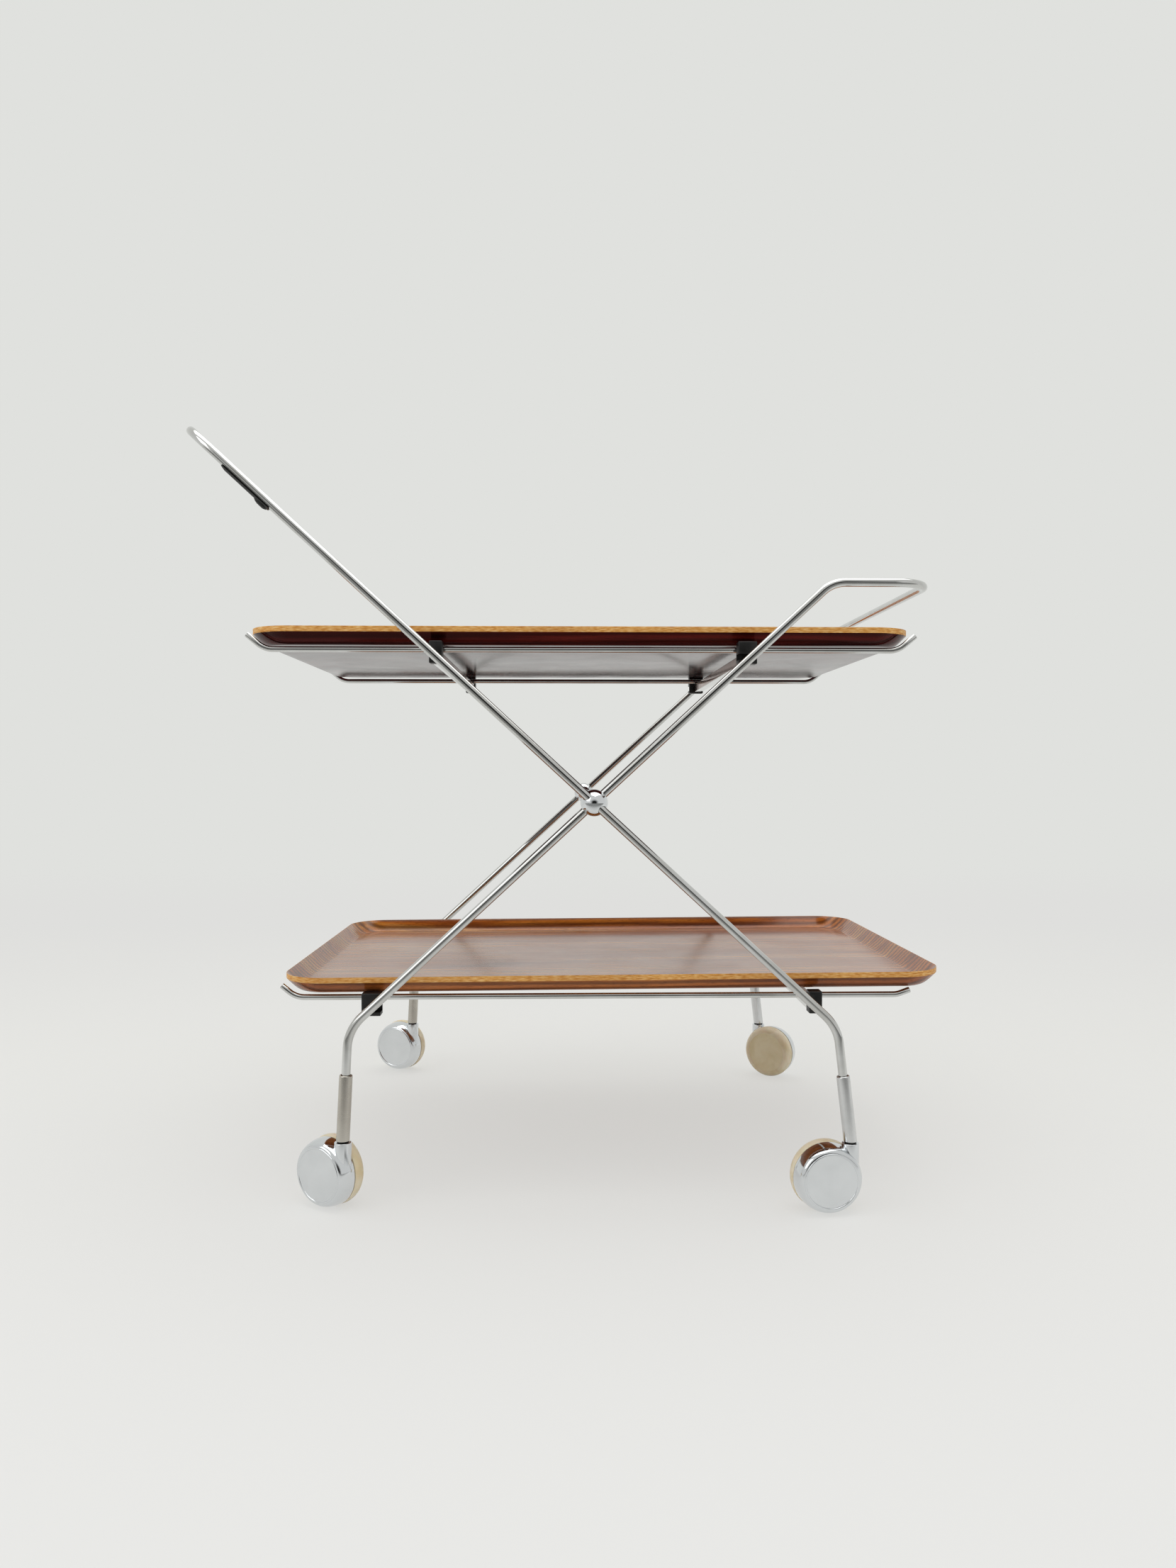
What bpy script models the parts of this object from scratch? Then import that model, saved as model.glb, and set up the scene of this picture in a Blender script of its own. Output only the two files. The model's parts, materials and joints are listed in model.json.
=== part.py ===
# Folding serving trolley: two crossed rod frames joined at a pair of ball pivots, two wire racks
# that carry lift-off trays, and four hooded casters.
# Metres, +Z up, +X to the short handle's end, -Y to the viewer. The floor is at Z = 0.

from math import cos, pi, radians, sin, tan

import bmesh
import bpy
from mathutils import Matrix, Quaternion, Vector

# Shared fits and mesh fineness
GAP = 0.0003
MERGE = 0.00005
OVERRUN = 0.003
ROD_BEVEL_RESOLUTION = 3
WIRE_BEVEL_RESOLUTION = 2
BEND_STEPS = 5
ROUND_SIDES = 16
DISC_SIDES = 24
PIN_SIDES = 12

# Frames: both are one bent rod, and cross at the pivot. Reaches run along a rod from the pivot
ROD_RADIUS = 0.004
ROD_TILT = radians(42.7)
ROD_STEP = 0.012
BEND_RADIUS = 0.040
LONG_CORNER_RADIUS = 0.045
LONG_HANDLE_REACH = 0.497
LONG_BEND_REACH = 0.296
LONG_LEG_LEAN = radians(6.6)
LEG_ABOVE_SLEEVE = 0.0429
SHORT_UPPER_BEND_REACH = 0.2925
SHORT_HANDLE_OVERHANG = 0.092
SHORT_BEND_EXTRA = 0.004
SHORT_LEG_LEAN = radians(2.8)
SHORT_UPPER_BEND_RADIUS = 0.030
SHORT_CORNER_RADIUS = 0.036

# Ball pivots: two half balls on one rivet, each half round one rod
BALL_RADIUS = 0.012
BALL_SPLIT = 0.0008
BALL_CHAMFER = 0.0007
BALL_SKIN = 0.001
BALL_ARC_STEPS = 6
RIVET_RADIUS = 0.002

# Leg sleeves
SLEEVE_BOTTOM = 0.064
SLEEVE_RADIUS = 0.006
SLEEVE_LENGTH = 0.059
SLEEVE_CHAMFER = 0.0014
ROD_END_ABOVE = 0.022

# Casters: measured from the swivel axis; the rim plane parts the hood from the wheel
CASTER_TRAIL = 0.0205
RIM_PLANE_BEHIND = 0.0042
WHEEL_RADIUS = 0.0315
WHEEL_SHOULDER_RADIUS = 0.031
WHEEL_FACE_RADIUS = 0.0256
WHEEL_RIM_GAP = 0.0013
WHEEL_WIDTH = 0.0135
WHEEL_FACE_RECESS = 0.0007
WHEEL_CROWN_STEPS = 4
HUB_RADIUS = 0.009
HUB_DEPTH = 0.005
HOOD_RADIUS = 0.0308
HOOD_FACE_RADIUS = 0.0252
HOOD_DEPTH = 0.0158
HOOD_WALL = 0.0018
HOOD_RING_WIDTH = 0.0018
HOOD_RING_HEIGHT = 0.0007
HOOD_ARC_STEPS = 4
HOOD_BOSS_RADIUS = 0.0075
HOOD_BOSS_GAP = 0.0006
WHEEL_CLEARANCE = 0.001
AXLE_RADIUS = 0.003
SOCKET_RADIUS = 0.0077
SOCKET_TOP = 0.0625
SOCKET_BOTTOM = 0.042
SOCKET_CHAMFER = 0.0006
STEM_RADIUS = 0.0025
STEM_BORE_IN_SLEEVE = 0.016
STEM_BORE_IN_SOCKET = 0.0085
STEM_COLLAR_RADIUS = 0.0054
CASTER_TURNS = {
    "near_left": radians(-33),
    "near_right": radians(6),
    "far_left": radians(-24),
    "far_right": radians(142),
}

# Racks: two wires across two square tube bars, hung on pins from the rods
WIRE_RADIUS = 0.00275
WIRE_INSET = 0.004
WIRE_TIP_RISE = 0.0138
WIRE_TIP_ANGLE = radians(40)
LOWER_LEFT_TIP_RISE = 0.0110
UNDER_TRAY_TIP_RISE = 0.0044
UNDER_TRAY_TIP_ANGLE = radians(20)
WIRE_BEND_RADIUS = 0.022
BAR_WIDTH = 0.010
BAR_WALL = 0.001
BAR_HALF_LENGTH = 0.1875
UPPER_PIN_REACH = 0.1966
LOWER_PIN_BEFORE_BEND = 0.0155
UPPER_WIRE_HALF = 0.3119
UPPER_WIRE_TO_LEFT = 0.0088
LOWER_WIRE_HALF = 0.2943
LOWER_WIRE_TO_RIGHT = 0.0047

# End plugs of the bars, and the pins that carry them
PIN_RADIUS = 0.0025
PIN_SPIGOT_RADIUS = 0.0015
PIN_SPIGOT_LENGTH = 0.003
PIN_FIT = 0.00035
PLUG_LENGTH = 0.0135
PLUG_INSERT = 0.012
PLUG_BASE = 0.0025
PIN_SHOW = 0.0187
EYE_WIDTH = 0.012
PLUG_RISE = 0.0145
HOOK_DROP = 0.00625
HOOK_OUTER_REACH = 0.0066
HOOK_MOUTH_REACH = 0.0109

# Trays of moulded plywood, their rims cut upright. They rest on the plugs, which reach into the
# flare, and the lower one is raised at the right by the wires' ends
TRAY_LENGTH = 0.6225
TRAY_PAST_WIRE = 0.0125
TRAY_CORNER_RADIUS = 0.040
TRAY_FLARE = 0.0155
TRAY_FLARE_RISE = 0.0115
TRAY_THICKNESS = 0.0036
PLUG_IN_FLARE = 0.0024
LOWER_TRAY_TILT = radians(0.35)
TRAY_CORNER_STEPS = 6
UPPER_TRAY_TO_LEFT = 0.0100
LOWER_TRAY_TO_RIGHT = 0.0205
FLARE_OUT_SHARES = (0, 0.20, 0.42, 0.68, 1)
FLARE_UP_SHARES = (0, 0.04, 0.20, 0.55, 1)

# Black clip under the long handle's near rod
CLIP_BEFORE_HANDLE = 0.111
CLIP_LENGTH = 0.055
CLIP_WALL = 0.0014
CLIP_FRONT_LIP = 0.0036
CLIP_REAR_LIP = 0.0028
CLIP_BUMP_RADIUS = 0.0035
CLIP_BUMP_DROP = 0.0042
CLIP_BUMP_LENGTH = 0.016

# Sizes that follow from the ones above
SIDE_Y = BAR_HALF_LENGTH + GAP + PLUG_LENGTH + PIN_SHOW + ROD_RADIUS + ROD_STEP / 2
WIRE_Y = BAR_HALF_LENGTH - WIRE_INSET
TRAY_WIDTH = 2 * (WIRE_Y + TRAY_PAST_WIRE)
TRAY_SEAT = PLUG_RISE - PLUG_IN_FLARE
LOWER_PIN_REACH = LONG_BEND_REACH - LOWER_PIN_BEFORE_BEND
CLIP_START_REACH = LONG_HANDLE_REACH - CLIP_BEFORE_HANDLE
SLEEVE_TOP = SLEEVE_BOTTOM + SLEEVE_LENGTH
PIVOT_HEIGHT = SLEEVE_TOP + LEG_ABOVE_SLEEVE + LONG_BEND_REACH * sin(ROD_TILT)

SIDES = {"near": -1, "far": 1}
ROD_UP_LEFT = Vector((-cos(ROD_TILT), 0, sin(ROD_TILT)))
ROD_UP_RIGHT = Vector((cos(ROD_TILT), 0, sin(ROD_TILT)))
ALONG_Y = Vector((0, 1, 0))
TURN_Z_TO_Y = Matrix.Rotation(-pi / 2, 4, "X")


# Scene, materials and basic shapes


def clear_scene():
    for obj in list(bpy.data.objects):
        bpy.data.objects.remove(obj, do_unlink=True)


def make_collection(name):
    collection = bpy.data.collections.new(name)
    bpy.context.scene.collection.children.link(collection)
    return collection


def make_material(name, colour, roughness, metallic):
    material = bpy.data.materials.new(name)
    material.use_nodes = True
    shader = material.node_tree.nodes["Principled BSDF"]
    shader.inputs["Base Color"].default_value = (*colour, 1)
    shader.inputs["Roughness"].default_value = roughness
    shader.inputs["Metallic"].default_value = metallic
    material.diffuse_color = (*colour, 1)
    return material


clear_scene()
cart_pieces = make_collection("serving_trolley")
cutters = make_collection("cutters")
chrome = make_material("chromed_steel", (0.78, 0.78, 0.77), 0.12, 1)
bare_steel = make_material("zinc_plated_steel", (0.55, 0.55, 0.55), 0.35, 1)
black_plastic = make_material("black_plastic", (0.015, 0.015, 0.015), 0.5, 0)
cream_plastic = make_material("cream_plastic", (0.68, 0.58, 0.40), 0.45, 0)
rosewood = make_material("rosewood_veneer", (0.30, 0.10, 0.04), 0.4, 0)


def make_empty(name, place, parent=None, turn=0):
    empty = bpy.data.objects.new(name, None)
    empty.location = place
    empty.rotation_euler = (0, 0, turn)
    empty.parent = parent
    cart_pieces.objects.link(empty)
    return empty


def add_object(name, mesh, parent, material=None, matrix=None):
    """A piece where a material is given, and a hidden cutter where none is."""
    obj = bpy.data.objects.new(name, mesh)
    obj.parent = parent
    if matrix is not None:
        obj.matrix_local = matrix
    if material:
        mesh.materials.append(material)
        cart_pieces.objects.link(obj)
    else:
        obj.hide_render = True
        obj.display_type = "WIRE"
        cutters.objects.link(obj)
    return obj


def finish_bmesh(name, shape):
    mesh = bpy.data.meshes.new(name)
    bmesh.ops.recalc_face_normals(shape, faces=shape.faces)
    shape.to_mesh(mesh)
    shape.free()
    return mesh


def turned(name, profile, parent, material=None, matrix=None, sides=ROUND_SIDES):
    """A profile of (radius, height) points, run down its outer side and turned about local Z."""
    mesh = bpy.data.meshes.new(name)
    points = [(radius, 0, height) for radius, height in profile]
    edges = [(index, index + 1) for index in range(len(points) - 1)]
    mesh.from_pydata(points, edges, [])
    obj = add_object(name, mesh, parent, material, matrix)
    screw = obj.modifiers.new("turn", "SCREW")
    screw.steps = sides
    screw.render_steps = sides
    screw.use_merge_vertices = True
    screw.merge_threshold = MERGE
    screw.use_smooth_shade = True
    return obj


def rod_matrix(start, direction):
    """Places local Z on a line that starts at a point."""
    turn = Vector((0, 0, 1)).rotation_difference(direction)
    return Matrix.Translation(start) @ turn.to_matrix().to_4x4()


def cylinder(name, start, end, radius, parent, material=None, sides=PIN_SIDES):
    span = Vector(end) - Vector(start)
    shape = bmesh.new()
    bmesh.ops.create_cone(
        shape, cap_ends=True, segments=sides, radius1=radius, radius2=radius, depth=span.length
    )
    middle = (Vector(start) + Vector(end)) / 2
    return add_object(name, finish_bmesh(name, shape), parent, material, rod_matrix(middle, span))


def box(name, low, high, parent, material=None):
    size = Vector(high) - Vector(low)
    shape = bmesh.new()
    bmesh.ops.create_cube(shape, size=1, matrix=Matrix.Diagonal((*size, 1)))
    obj = add_object(name, finish_bmesh(name, shape), parent, material)
    obj.location = (Vector(high) + Vector(low)) / 2
    return obj


def rounded_path(corners, radii, steps=BEND_STEPS):
    """Points along straight runs between corners, each inner corner rounded to its radius."""
    points = [corners[0]]
    for before, corner, after, radius in zip(corners, corners[1:], corners[2:], radii):
        incoming = (corner - before).normalized()
        outgoing = (after - corner).normalized()
        turn = incoming.angle(outgoing)
        start = corner - incoming * radius * tan(turn / 2)
        centre = corner + (outgoing - incoming).normalized() * radius / cos(turn / 2)
        axis = incoming.cross(outgoing)
        for step in range(steps + 1):
            arm = Quaternion(axis, turn * step / steps) @ (start - centre)
            points.append(centre + arm)
    points.append(corners[-1])
    return points


def tube(name, points, radius, resolution, parent, material):
    curve = bpy.data.curves.new(name, "CURVE")
    curve.dimensions = "3D"
    curve.bevel_depth = radius
    curve.bevel_resolution = resolution
    curve.use_fill_caps = True
    spline = curve.splines.new("POLY")
    spline.points.add(len(points) - 1)
    for spline_point, point in zip(spline.points, points):
        spline_point.co = (*point, 1)
    guide = bpy.data.objects.new(f"{name}_guide", curve)
    cart_pieces.objects.link(guide)
    bpy.context.view_layer.update()
    graph = bpy.context.evaluated_depsgraph_get()
    mesh = bpy.data.meshes.new_from_object(guide.evaluated_get(graph))
    bpy.data.objects.remove(guide, do_unlink=True)
    shape = bmesh.new()
    shape.from_mesh(mesh)
    bpy.data.meshes.remove(mesh)
    bmesh.ops.remove_doubles(shape, verts=shape.verts, dist=MERGE)
    return add_object(name, finish_bmesh(name, shape), parent, material)


def combine(obj, other, operation="DIFFERENCE"):
    boolean = obj.modifiers.new(f"{operation.lower()} {other.name}", "BOOLEAN")
    boolean.operation = operation
    boolean.object = other


# Places that the pieces share


def long_rod_y(side):
    return SIDES[side] * SIDE_Y - ROD_STEP / 2


def short_rod_y(side):
    return SIDES[side] * SIDE_Y + ROD_STEP / 2


def foot_of(bend, lean, outward):
    """Where a leg's centreline meets the sleeve's bottom, from its bend's corner."""
    drop = bend.z + PIVOT_HEIGHT - SLEEVE_BOTTOM
    return Vector((bend.x + outward * drop * tan(lean), 0, SLEEVE_BOTTOM - PIVOT_HEIGHT))


LONG_BEND = -ROD_UP_LEFT * LONG_BEND_REACH
LONG_FOOT = foot_of(LONG_BEND, LONG_LEG_LEAN, 1)
SHORT_BEND = -ROD_UP_RIGHT * (LONG_BEND_REACH + SHORT_BEND_EXTRA)
SHORT_FOOT = foot_of(SHORT_BEND, SHORT_LEG_LEAN, -1)
FRAMES = {
    "long": {"rod_y": long_rod_y, "bend": LONG_BEND, "foot": LONG_FOOT, "leg_side": "right"},
    "short": {"rod_y": short_rod_y, "bend": SHORT_BEND, "foot": SHORT_FOOT, "leg_side": "left"},
}


def at_y(point, y):
    return Vector((point.x, y, point.z))


# Frames, ball pivots and leg sleeves


def rod_end(frame):
    upward = (frame["bend"] - frame["foot"]).normalized()
    return frame["foot"] + upward * ROD_END_ABOVE


def make_frame(kind, upper_corners, upper_radii, parent):
    """One rod from foot to foot: up the near side, across the handle and down the far side."""
    frame = FRAMES[kind]
    half = [rod_end(frame), frame["bend"], *upper_corners]
    near = [at_y(point, frame["rod_y"]("near")) for point in half]
    far = [at_y(point, frame["rod_y"]("far")) for point in reversed(half)]
    radii = [BEND_RADIUS, *upper_radii]
    path = rounded_path(near + far, radii + radii[::-1])
    return tube(f"frame_{kind}", path, ROD_RADIUS, ROD_BEVEL_RESOLUTION, parent, chrome)


def half_ball_profile():
    """From the pole down to the split face, which has a small chamfer for the groove."""
    flat = BALL_SPLIT / 2
    lowest = pi / 2 * BALL_CHAMFER / BALL_RADIUS
    arc = []
    for step in range(BALL_ARC_STEPS + 1):
        angle = pi / 2 + (lowest - pi / 2) * step / BALL_ARC_STEPS
        arc.append((BALL_RADIUS * cos(angle), flat + (BALL_RADIUS - flat) * sin(angle)))
    arc[0] = (0, BALL_RADIUS)
    return [*arc, (BALL_RADIUS - BALL_CHAMFER, flat), (0, flat)]


def make_ball(side, rods, hubs):
    """Both halves of one ball, the rod tunnels, and the rivet that holds the halves together."""
    centre = Vector((0, SIDES[side] * SIDE_Y, 0))
    bore_depth = BALL_RADIUS - BALL_SKIN
    bore = cylinder(
        f"rivet_bore_{side}",
        centre - ALONG_Y * bore_depth,
        centre + ALONG_Y * bore_depth,
        RIVET_RADIUS + GAP,
        hubs["long"],
    )
    directions = {"long": ROD_UP_LEFT, "short": ROD_UP_RIGHT}
    turns = {"long": TURN_Z_TO_Y.inverted(), "short": TURN_Z_TO_Y}
    for kind, place in (("long", "front"), ("short", "rear")):
        half = turned(
            f"ball_{side}_{place}_half",
            half_ball_profile(),
            hubs[kind],
            chrome,
            Matrix.Translation(centre) @ turns[kind],
        )
        middle = at_y(centre, FRAMES[kind]["rod_y"](side))
        reach = directions[kind] * (BALL_RADIUS + OVERRUN)
        tunnel = cylinder(
            f"rod_tunnel_{side}_{kind}",
            middle - reach,
            middle + reach,
            ROD_RADIUS + GAP,
            hubs[kind],
            sides=ROUND_SIDES,
        )
        combine(half, tunnel)
        combine(half, bore)
        combine(rods[kind], bore)
    rivet_reach = ALONG_Y * (bore_depth - GAP)
    cylinder(
        f"pivot_rivet_{side}", centre - rivet_reach, centre + rivet_reach, RIVET_RADIUS,
        hubs["long"], bare_steel,
    )


def make_sleeve(kind, side, hub):
    """A turned ferrule on the leg's end, cut level below and bored for the caster's stem."""
    frame = FRAMES[kind]
    upward = (frame["bend"] - frame["foot"]).normalized()
    foot = at_y(frame["foot"], frame["rod_y"](side))
    bore = ROD_RADIUS + GAP
    floor = ROD_END_ABOVE - GAP
    profile = [
        (0, floor),
        (bore, floor),
        (bore, SLEEVE_LENGTH),
        (SLEEVE_RADIUS - SLEEVE_CHAMFER, SLEEVE_LENGTH),
        (SLEEVE_RADIUS, SLEEVE_LENGTH - SLEEVE_CHAMFER),
        (SLEEVE_RADIUS, -OVERRUN),
        (0, -OVERRUN),
    ]
    corner = f"{side}_{frame['leg_side']}"
    sleeve = turned(f"leg_sleeve_{corner}", profile, hub, chrome, rod_matrix(foot, upward))
    stem_bore = STEM_RADIUS + GAP
    skirt = SLEEVE_RADIUS + OVERRUN
    cutter_profile = [
        (0, STEM_BORE_IN_SLEEVE),
        (stem_bore, STEM_BORE_IN_SLEEVE),
        (stem_bore, 0),
        (skirt, 0),
        (skirt, -2 * OVERRUN),
        (0, -2 * OVERRUN),
    ]
    place = Matrix.Translation(foot)
    combine(sleeve, turned(f"stem_bore_{corner}", cutter_profile, hub, matrix=place, sides=PIN_SIDES))


# Casters, built about the swivel axis at the floor, trailing to local -X, hood to local -Y


def quarter(outer, inner, depth, steps):
    """An elliptic quarter from (outer, 0) to (inner, -depth)."""
    angles = [pi / 2 * step / steps for step in range(steps + 1)]
    return [(inner + (outer - inner) * cos(angle), -depth * sin(angle)) for angle in angles]


def axle_reach():
    """Heights of the axle's two blind bore floors, in the hood and in the wheel."""
    return -(HOOD_DEPTH - HOOD_WALL - HOOD_RING_HEIGHT), WHEEL_RIM_GAP + WHEEL_WIDTH * 3 / 4


def make_hood(corner, swivel, wheel_axis):
    """A chromed shell beside the wheel, joined to the upright socket that holds the stem."""
    ring_inner = HOOD_FACE_RADIUS - HOOD_RING_WIDTH
    face = -(HOOD_DEPTH - HOOD_RING_HEIGHT)
    shell_profile = [
        (0, WHEEL_RIM_GAP),
        (HOOD_RADIUS, WHEEL_RIM_GAP),
        *quarter(HOOD_RADIUS, HOOD_FACE_RADIUS, HOOD_DEPTH, HOOD_ARC_STEPS),
        (ring_inner + HOOD_RING_HEIGHT, -HOOD_DEPTH),
        (ring_inner, face),
        (0, face),
    ]
    hood = turned(
        f"caster_hood_{corner}", shell_profile, swivel, chrome, wheel_axis, sides=DISC_SIDES
    )
    socket_profile = [
        (0, SOCKET_TOP),
        (SOCKET_RADIUS - SOCKET_CHAMFER, SOCKET_TOP),
        (SOCKET_RADIUS, SOCKET_TOP - SOCKET_CHAMFER),
        (SOCKET_RADIUS, SOCKET_BOTTOM),
        (0, SOCKET_BOTTOM),
    ]
    combine(hood, turned(f"socket_{corner}", socket_profile, swivel), "UNION")
    bore_floor = axle_reach()[0]
    boss_end = -HUB_DEPTH - HOOD_BOSS_GAP
    cavity_floor = -(HOOD_DEPTH - HOOD_RING_HEIGHT - HOOD_WALL)
    cavity = quarter(
        HOOD_RADIUS - HOOD_WALL, HOOD_FACE_RADIUS - HOOD_WALL, -cavity_floor, HOOD_ARC_STEPS
    )
    space = WHEEL_RADIUS + WHEEL_CLEARANCE
    beyond = WHEEL_WIDTH + SOCKET_RADIUS
    space_profile = [
        (0, beyond),
        (space, beyond),
        (space, 0),
        *cavity,
        (HOOD_BOSS_RADIUS, cavity_floor),
        (HOOD_BOSS_RADIUS, boss_end),
        (AXLE_RADIUS + GAP, boss_end),
        (AXLE_RADIUS + GAP, bore_floor),
        (0, bore_floor),
    ]
    combine(
        hood, turned(f"wheel_space_{corner}", space_profile, swivel, None, wheel_axis, DISC_SIDES)
    )
    bore_radius = STEM_RADIUS + GAP
    bore_start = (0, 0, SOCKET_TOP - STEM_BORE_IN_SOCKET)
    bore_end = (0, 0, SOCKET_TOP + OVERRUN)
    combine(hood, cylinder(f"socket_bore_{corner}", bore_start, bore_end, bore_radius, swivel))


def make_wheel(corner, spin):
    """A cream wheel with a crowned tread, a shallow face recess and a hub toward the hood."""
    outer = WHEEL_RIM_GAP + WHEEL_WIDTH
    crown_start = WHEEL_RIM_GAP + WHEEL_WIDTH / 3
    crown = [
        (radius, crown_start - height)
        for radius, height in quarter(
            WHEEL_RADIUS, WHEEL_FACE_RADIUS, outer - crown_start, WHEEL_CROWN_STEPS
        )
    ]
    crown.reverse()
    recess_radius = WHEEL_FACE_RADIUS - 2 * WHEEL_FACE_RECESS
    bore = AXLE_RADIUS + GAP
    profile = [
        (0, outer - WHEEL_FACE_RECESS),
        (recess_radius, outer - WHEEL_FACE_RECESS),
        *crown,
        (WHEEL_SHOULDER_RADIUS, WHEEL_RIM_GAP),
        (HUB_RADIUS, WHEEL_RIM_GAP),
        (HUB_RADIUS, -HUB_DEPTH),
        (bore, -HUB_DEPTH),
        (bore, axle_reach()[1]),
        (0, axle_reach()[1]),
    ]
    turned(
        f"caster_wheel_{corner}", profile, spin, cream_plastic, TURN_Z_TO_Y, sides=DISC_SIDES
    )


def make_stem(corner, swivel):
    """The swivel pin, with the dark collar that shows between the sleeve and the socket."""
    bottom = SOCKET_TOP - STEM_BORE_IN_SOCKET + GAP
    top = SLEEVE_BOTTOM + STEM_BORE_IN_SLEEVE - GAP
    profile = [
        (0, top),
        (STEM_RADIUS, top),
        (STEM_RADIUS, SLEEVE_BOTTOM - GAP),
        (STEM_COLLAR_RADIUS, SLEEVE_BOTTOM - GAP),
        (STEM_COLLAR_RADIUS, SOCKET_TOP + GAP),
        (STEM_RADIUS, SOCKET_TOP + GAP),
        (STEM_RADIUS, bottom),
        (0, bottom),
    ]
    turned(f"caster_stem_{corner}", profile, swivel, black_plastic, sides=PIN_SIDES)


def make_caster(kind, side, hub):
    frame = FRAMES[kind]
    corner = f"{side}_{frame['leg_side']}"
    foot = at_y(frame["foot"], frame["rod_y"](side)) - Vector((0, 0, SLEEVE_BOTTOM))
    swivel = make_empty(f"swivel_{corner}", foot, hub, CASTER_TURNS[corner])
    spin_place = (-CASTER_TRAIL, RIM_PLANE_BEHIND, WHEEL_RADIUS)
    spin = make_empty(f"spin_{corner}", spin_place, swivel)
    wheel_axis = Matrix.Translation(spin.location) @ TURN_Z_TO_Y
    make_hood(corner, swivel, wheel_axis)
    make_wheel(corner, spin)
    make_stem(corner, swivel)
    axle_start, axle_end = axle_reach()
    cylinder(
        f"caster_axle_{corner}",
        spin.location + ALONG_Y * (axle_start + GAP),
        spin.location + ALONG_Y * (axle_end - GAP),
        AXLE_RADIUS,
        swivel,
        bare_steel,
    )


# Racks: local origin on the hinge line, at the long frame's pins


def make_wire(name, y, left, right, tips, parent):
    """A straight wire with both ends bent up, each tip by its own rise and angle."""
    (left_rise, left_angle), (right_rise, right_angle) = tips
    height = BAR_WIDTH / 2 + GAP + WIRE_RADIUS
    corners = [
        Vector((left, y, height + left_rise)),
        Vector((left + left_rise / tan(left_angle), y, height)),
        Vector((right - right_rise / tan(right_angle), y, height)),
        Vector((right, y, height + right_rise)),
    ]
    path = rounded_path(corners, [WIRE_BEND_RADIUS, WIRE_BEND_RADIUS])
    tube(name, path, WIRE_RADIUS, WIRE_BEVEL_RESOLUTION, parent, chrome)


def make_bar(name, x, parent):
    """A square tube that the tray and both wires rest on."""
    half = BAR_WIDTH / 2
    hollow = half - BAR_WALL
    reach = BAR_HALF_LENGTH
    past = BAR_HALF_LENGTH + OVERRUN
    bar = box(name, (x - half, -reach, -half), (x + half, reach, half), parent, chrome)
    low = (x - hollow, -past, -hollow)
    combine(bar, box(f"{name}_hollow", low, (x + hollow, past, hollow), parent))


def y_box(name, side, x_span, y_span, z_span, parent, material=None):
    """A box between two distances from the middle, on the near or the far side."""
    ends = sorted(SIDES[side] * y for y in y_span)
    low = (x_span[0], ends[0], z_span[0])
    return box(name, low, (x_span[1], ends[1], z_span[1]), parent, material)


def add_insert(plug, name, side, x, parent):
    """The square tongue that holds a plug in its bar."""
    half = BAR_WIDTH / 2 - BAR_WALL - GAP
    span = (BAR_HALF_LENGTH - PLUG_INSERT, BAR_HALF_LENGTH + PLUG_BASE)
    tongue = y_box(f"{name}_insert", side, (x - half, x + half), span, (-half, half), parent)
    combine(plug, tongue, "UNION")


def make_eye(name, side, x, parent):
    """A plug with a blind bore that turns on the long frame's pin."""
    half = EYE_WIDTH / 2
    start = BAR_HALF_LENGTH + GAP
    span = (start, start + PLUG_LENGTH)
    z_span = (-half, PLUG_RISE)
    eye = y_box(name, side, (x - half, x + half), span, z_span, parent, black_plastic)
    add_insert(eye, name, side, x, parent)
    outward = ALONG_Y * SIDES[side]
    base = Vector((x, 0, 0)) + outward * (BAR_HALF_LENGTH + PLUG_BASE)
    end = base + outward * (PLUG_LENGTH + OVERRUN)
    combine(eye, cylinder(f"{name}_bore", base, end, PIN_RADIUS + PIN_FIT, parent))


def make_hook(name, side, x, mouth, parent):
    """A plug with a slot that drops over the short frame's pin and opens to the rack's middle."""
    x_span = sorted((x - mouth * HOOK_OUTER_REACH, x + mouth * HOOK_MOUTH_REACH))
    start = BAR_HALF_LENGTH + GAP
    span = (start, start + PLUG_LENGTH)
    hook = y_box(name, side, x_span, span, (-HOOK_DROP, PLUG_RISE), parent, black_plastic)
    add_insert(hook, name, side, x, parent)
    outward = ALONG_Y * SIDES[side]
    slot_radius = PIN_RADIUS + PIN_FIT
    base = Vector((x, 0, 0)) + outward * (BAR_HALF_LENGTH + PLUG_BASE)
    end = base + outward * (PLUG_LENGTH + OVERRUN)
    combine(hook, cylinder(f"{name}_seat", base, end, slot_radius, parent))
    slot_x = sorted((x, x + mouth * (HOOK_MOUTH_REACH + OVERRUN)))
    slot_y = (BAR_HALF_LENGTH + PLUG_BASE, BAR_HALF_LENGTH + PLUG_BASE + PLUG_LENGTH + OVERRUN)
    slot_half = slot_radius * cos(pi / PIN_SIDES)
    slot_z = (-slot_half, slot_half)
    combine(hook, y_box(f"{name}_slot", side, slot_x, slot_y, slot_z, parent))


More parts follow.
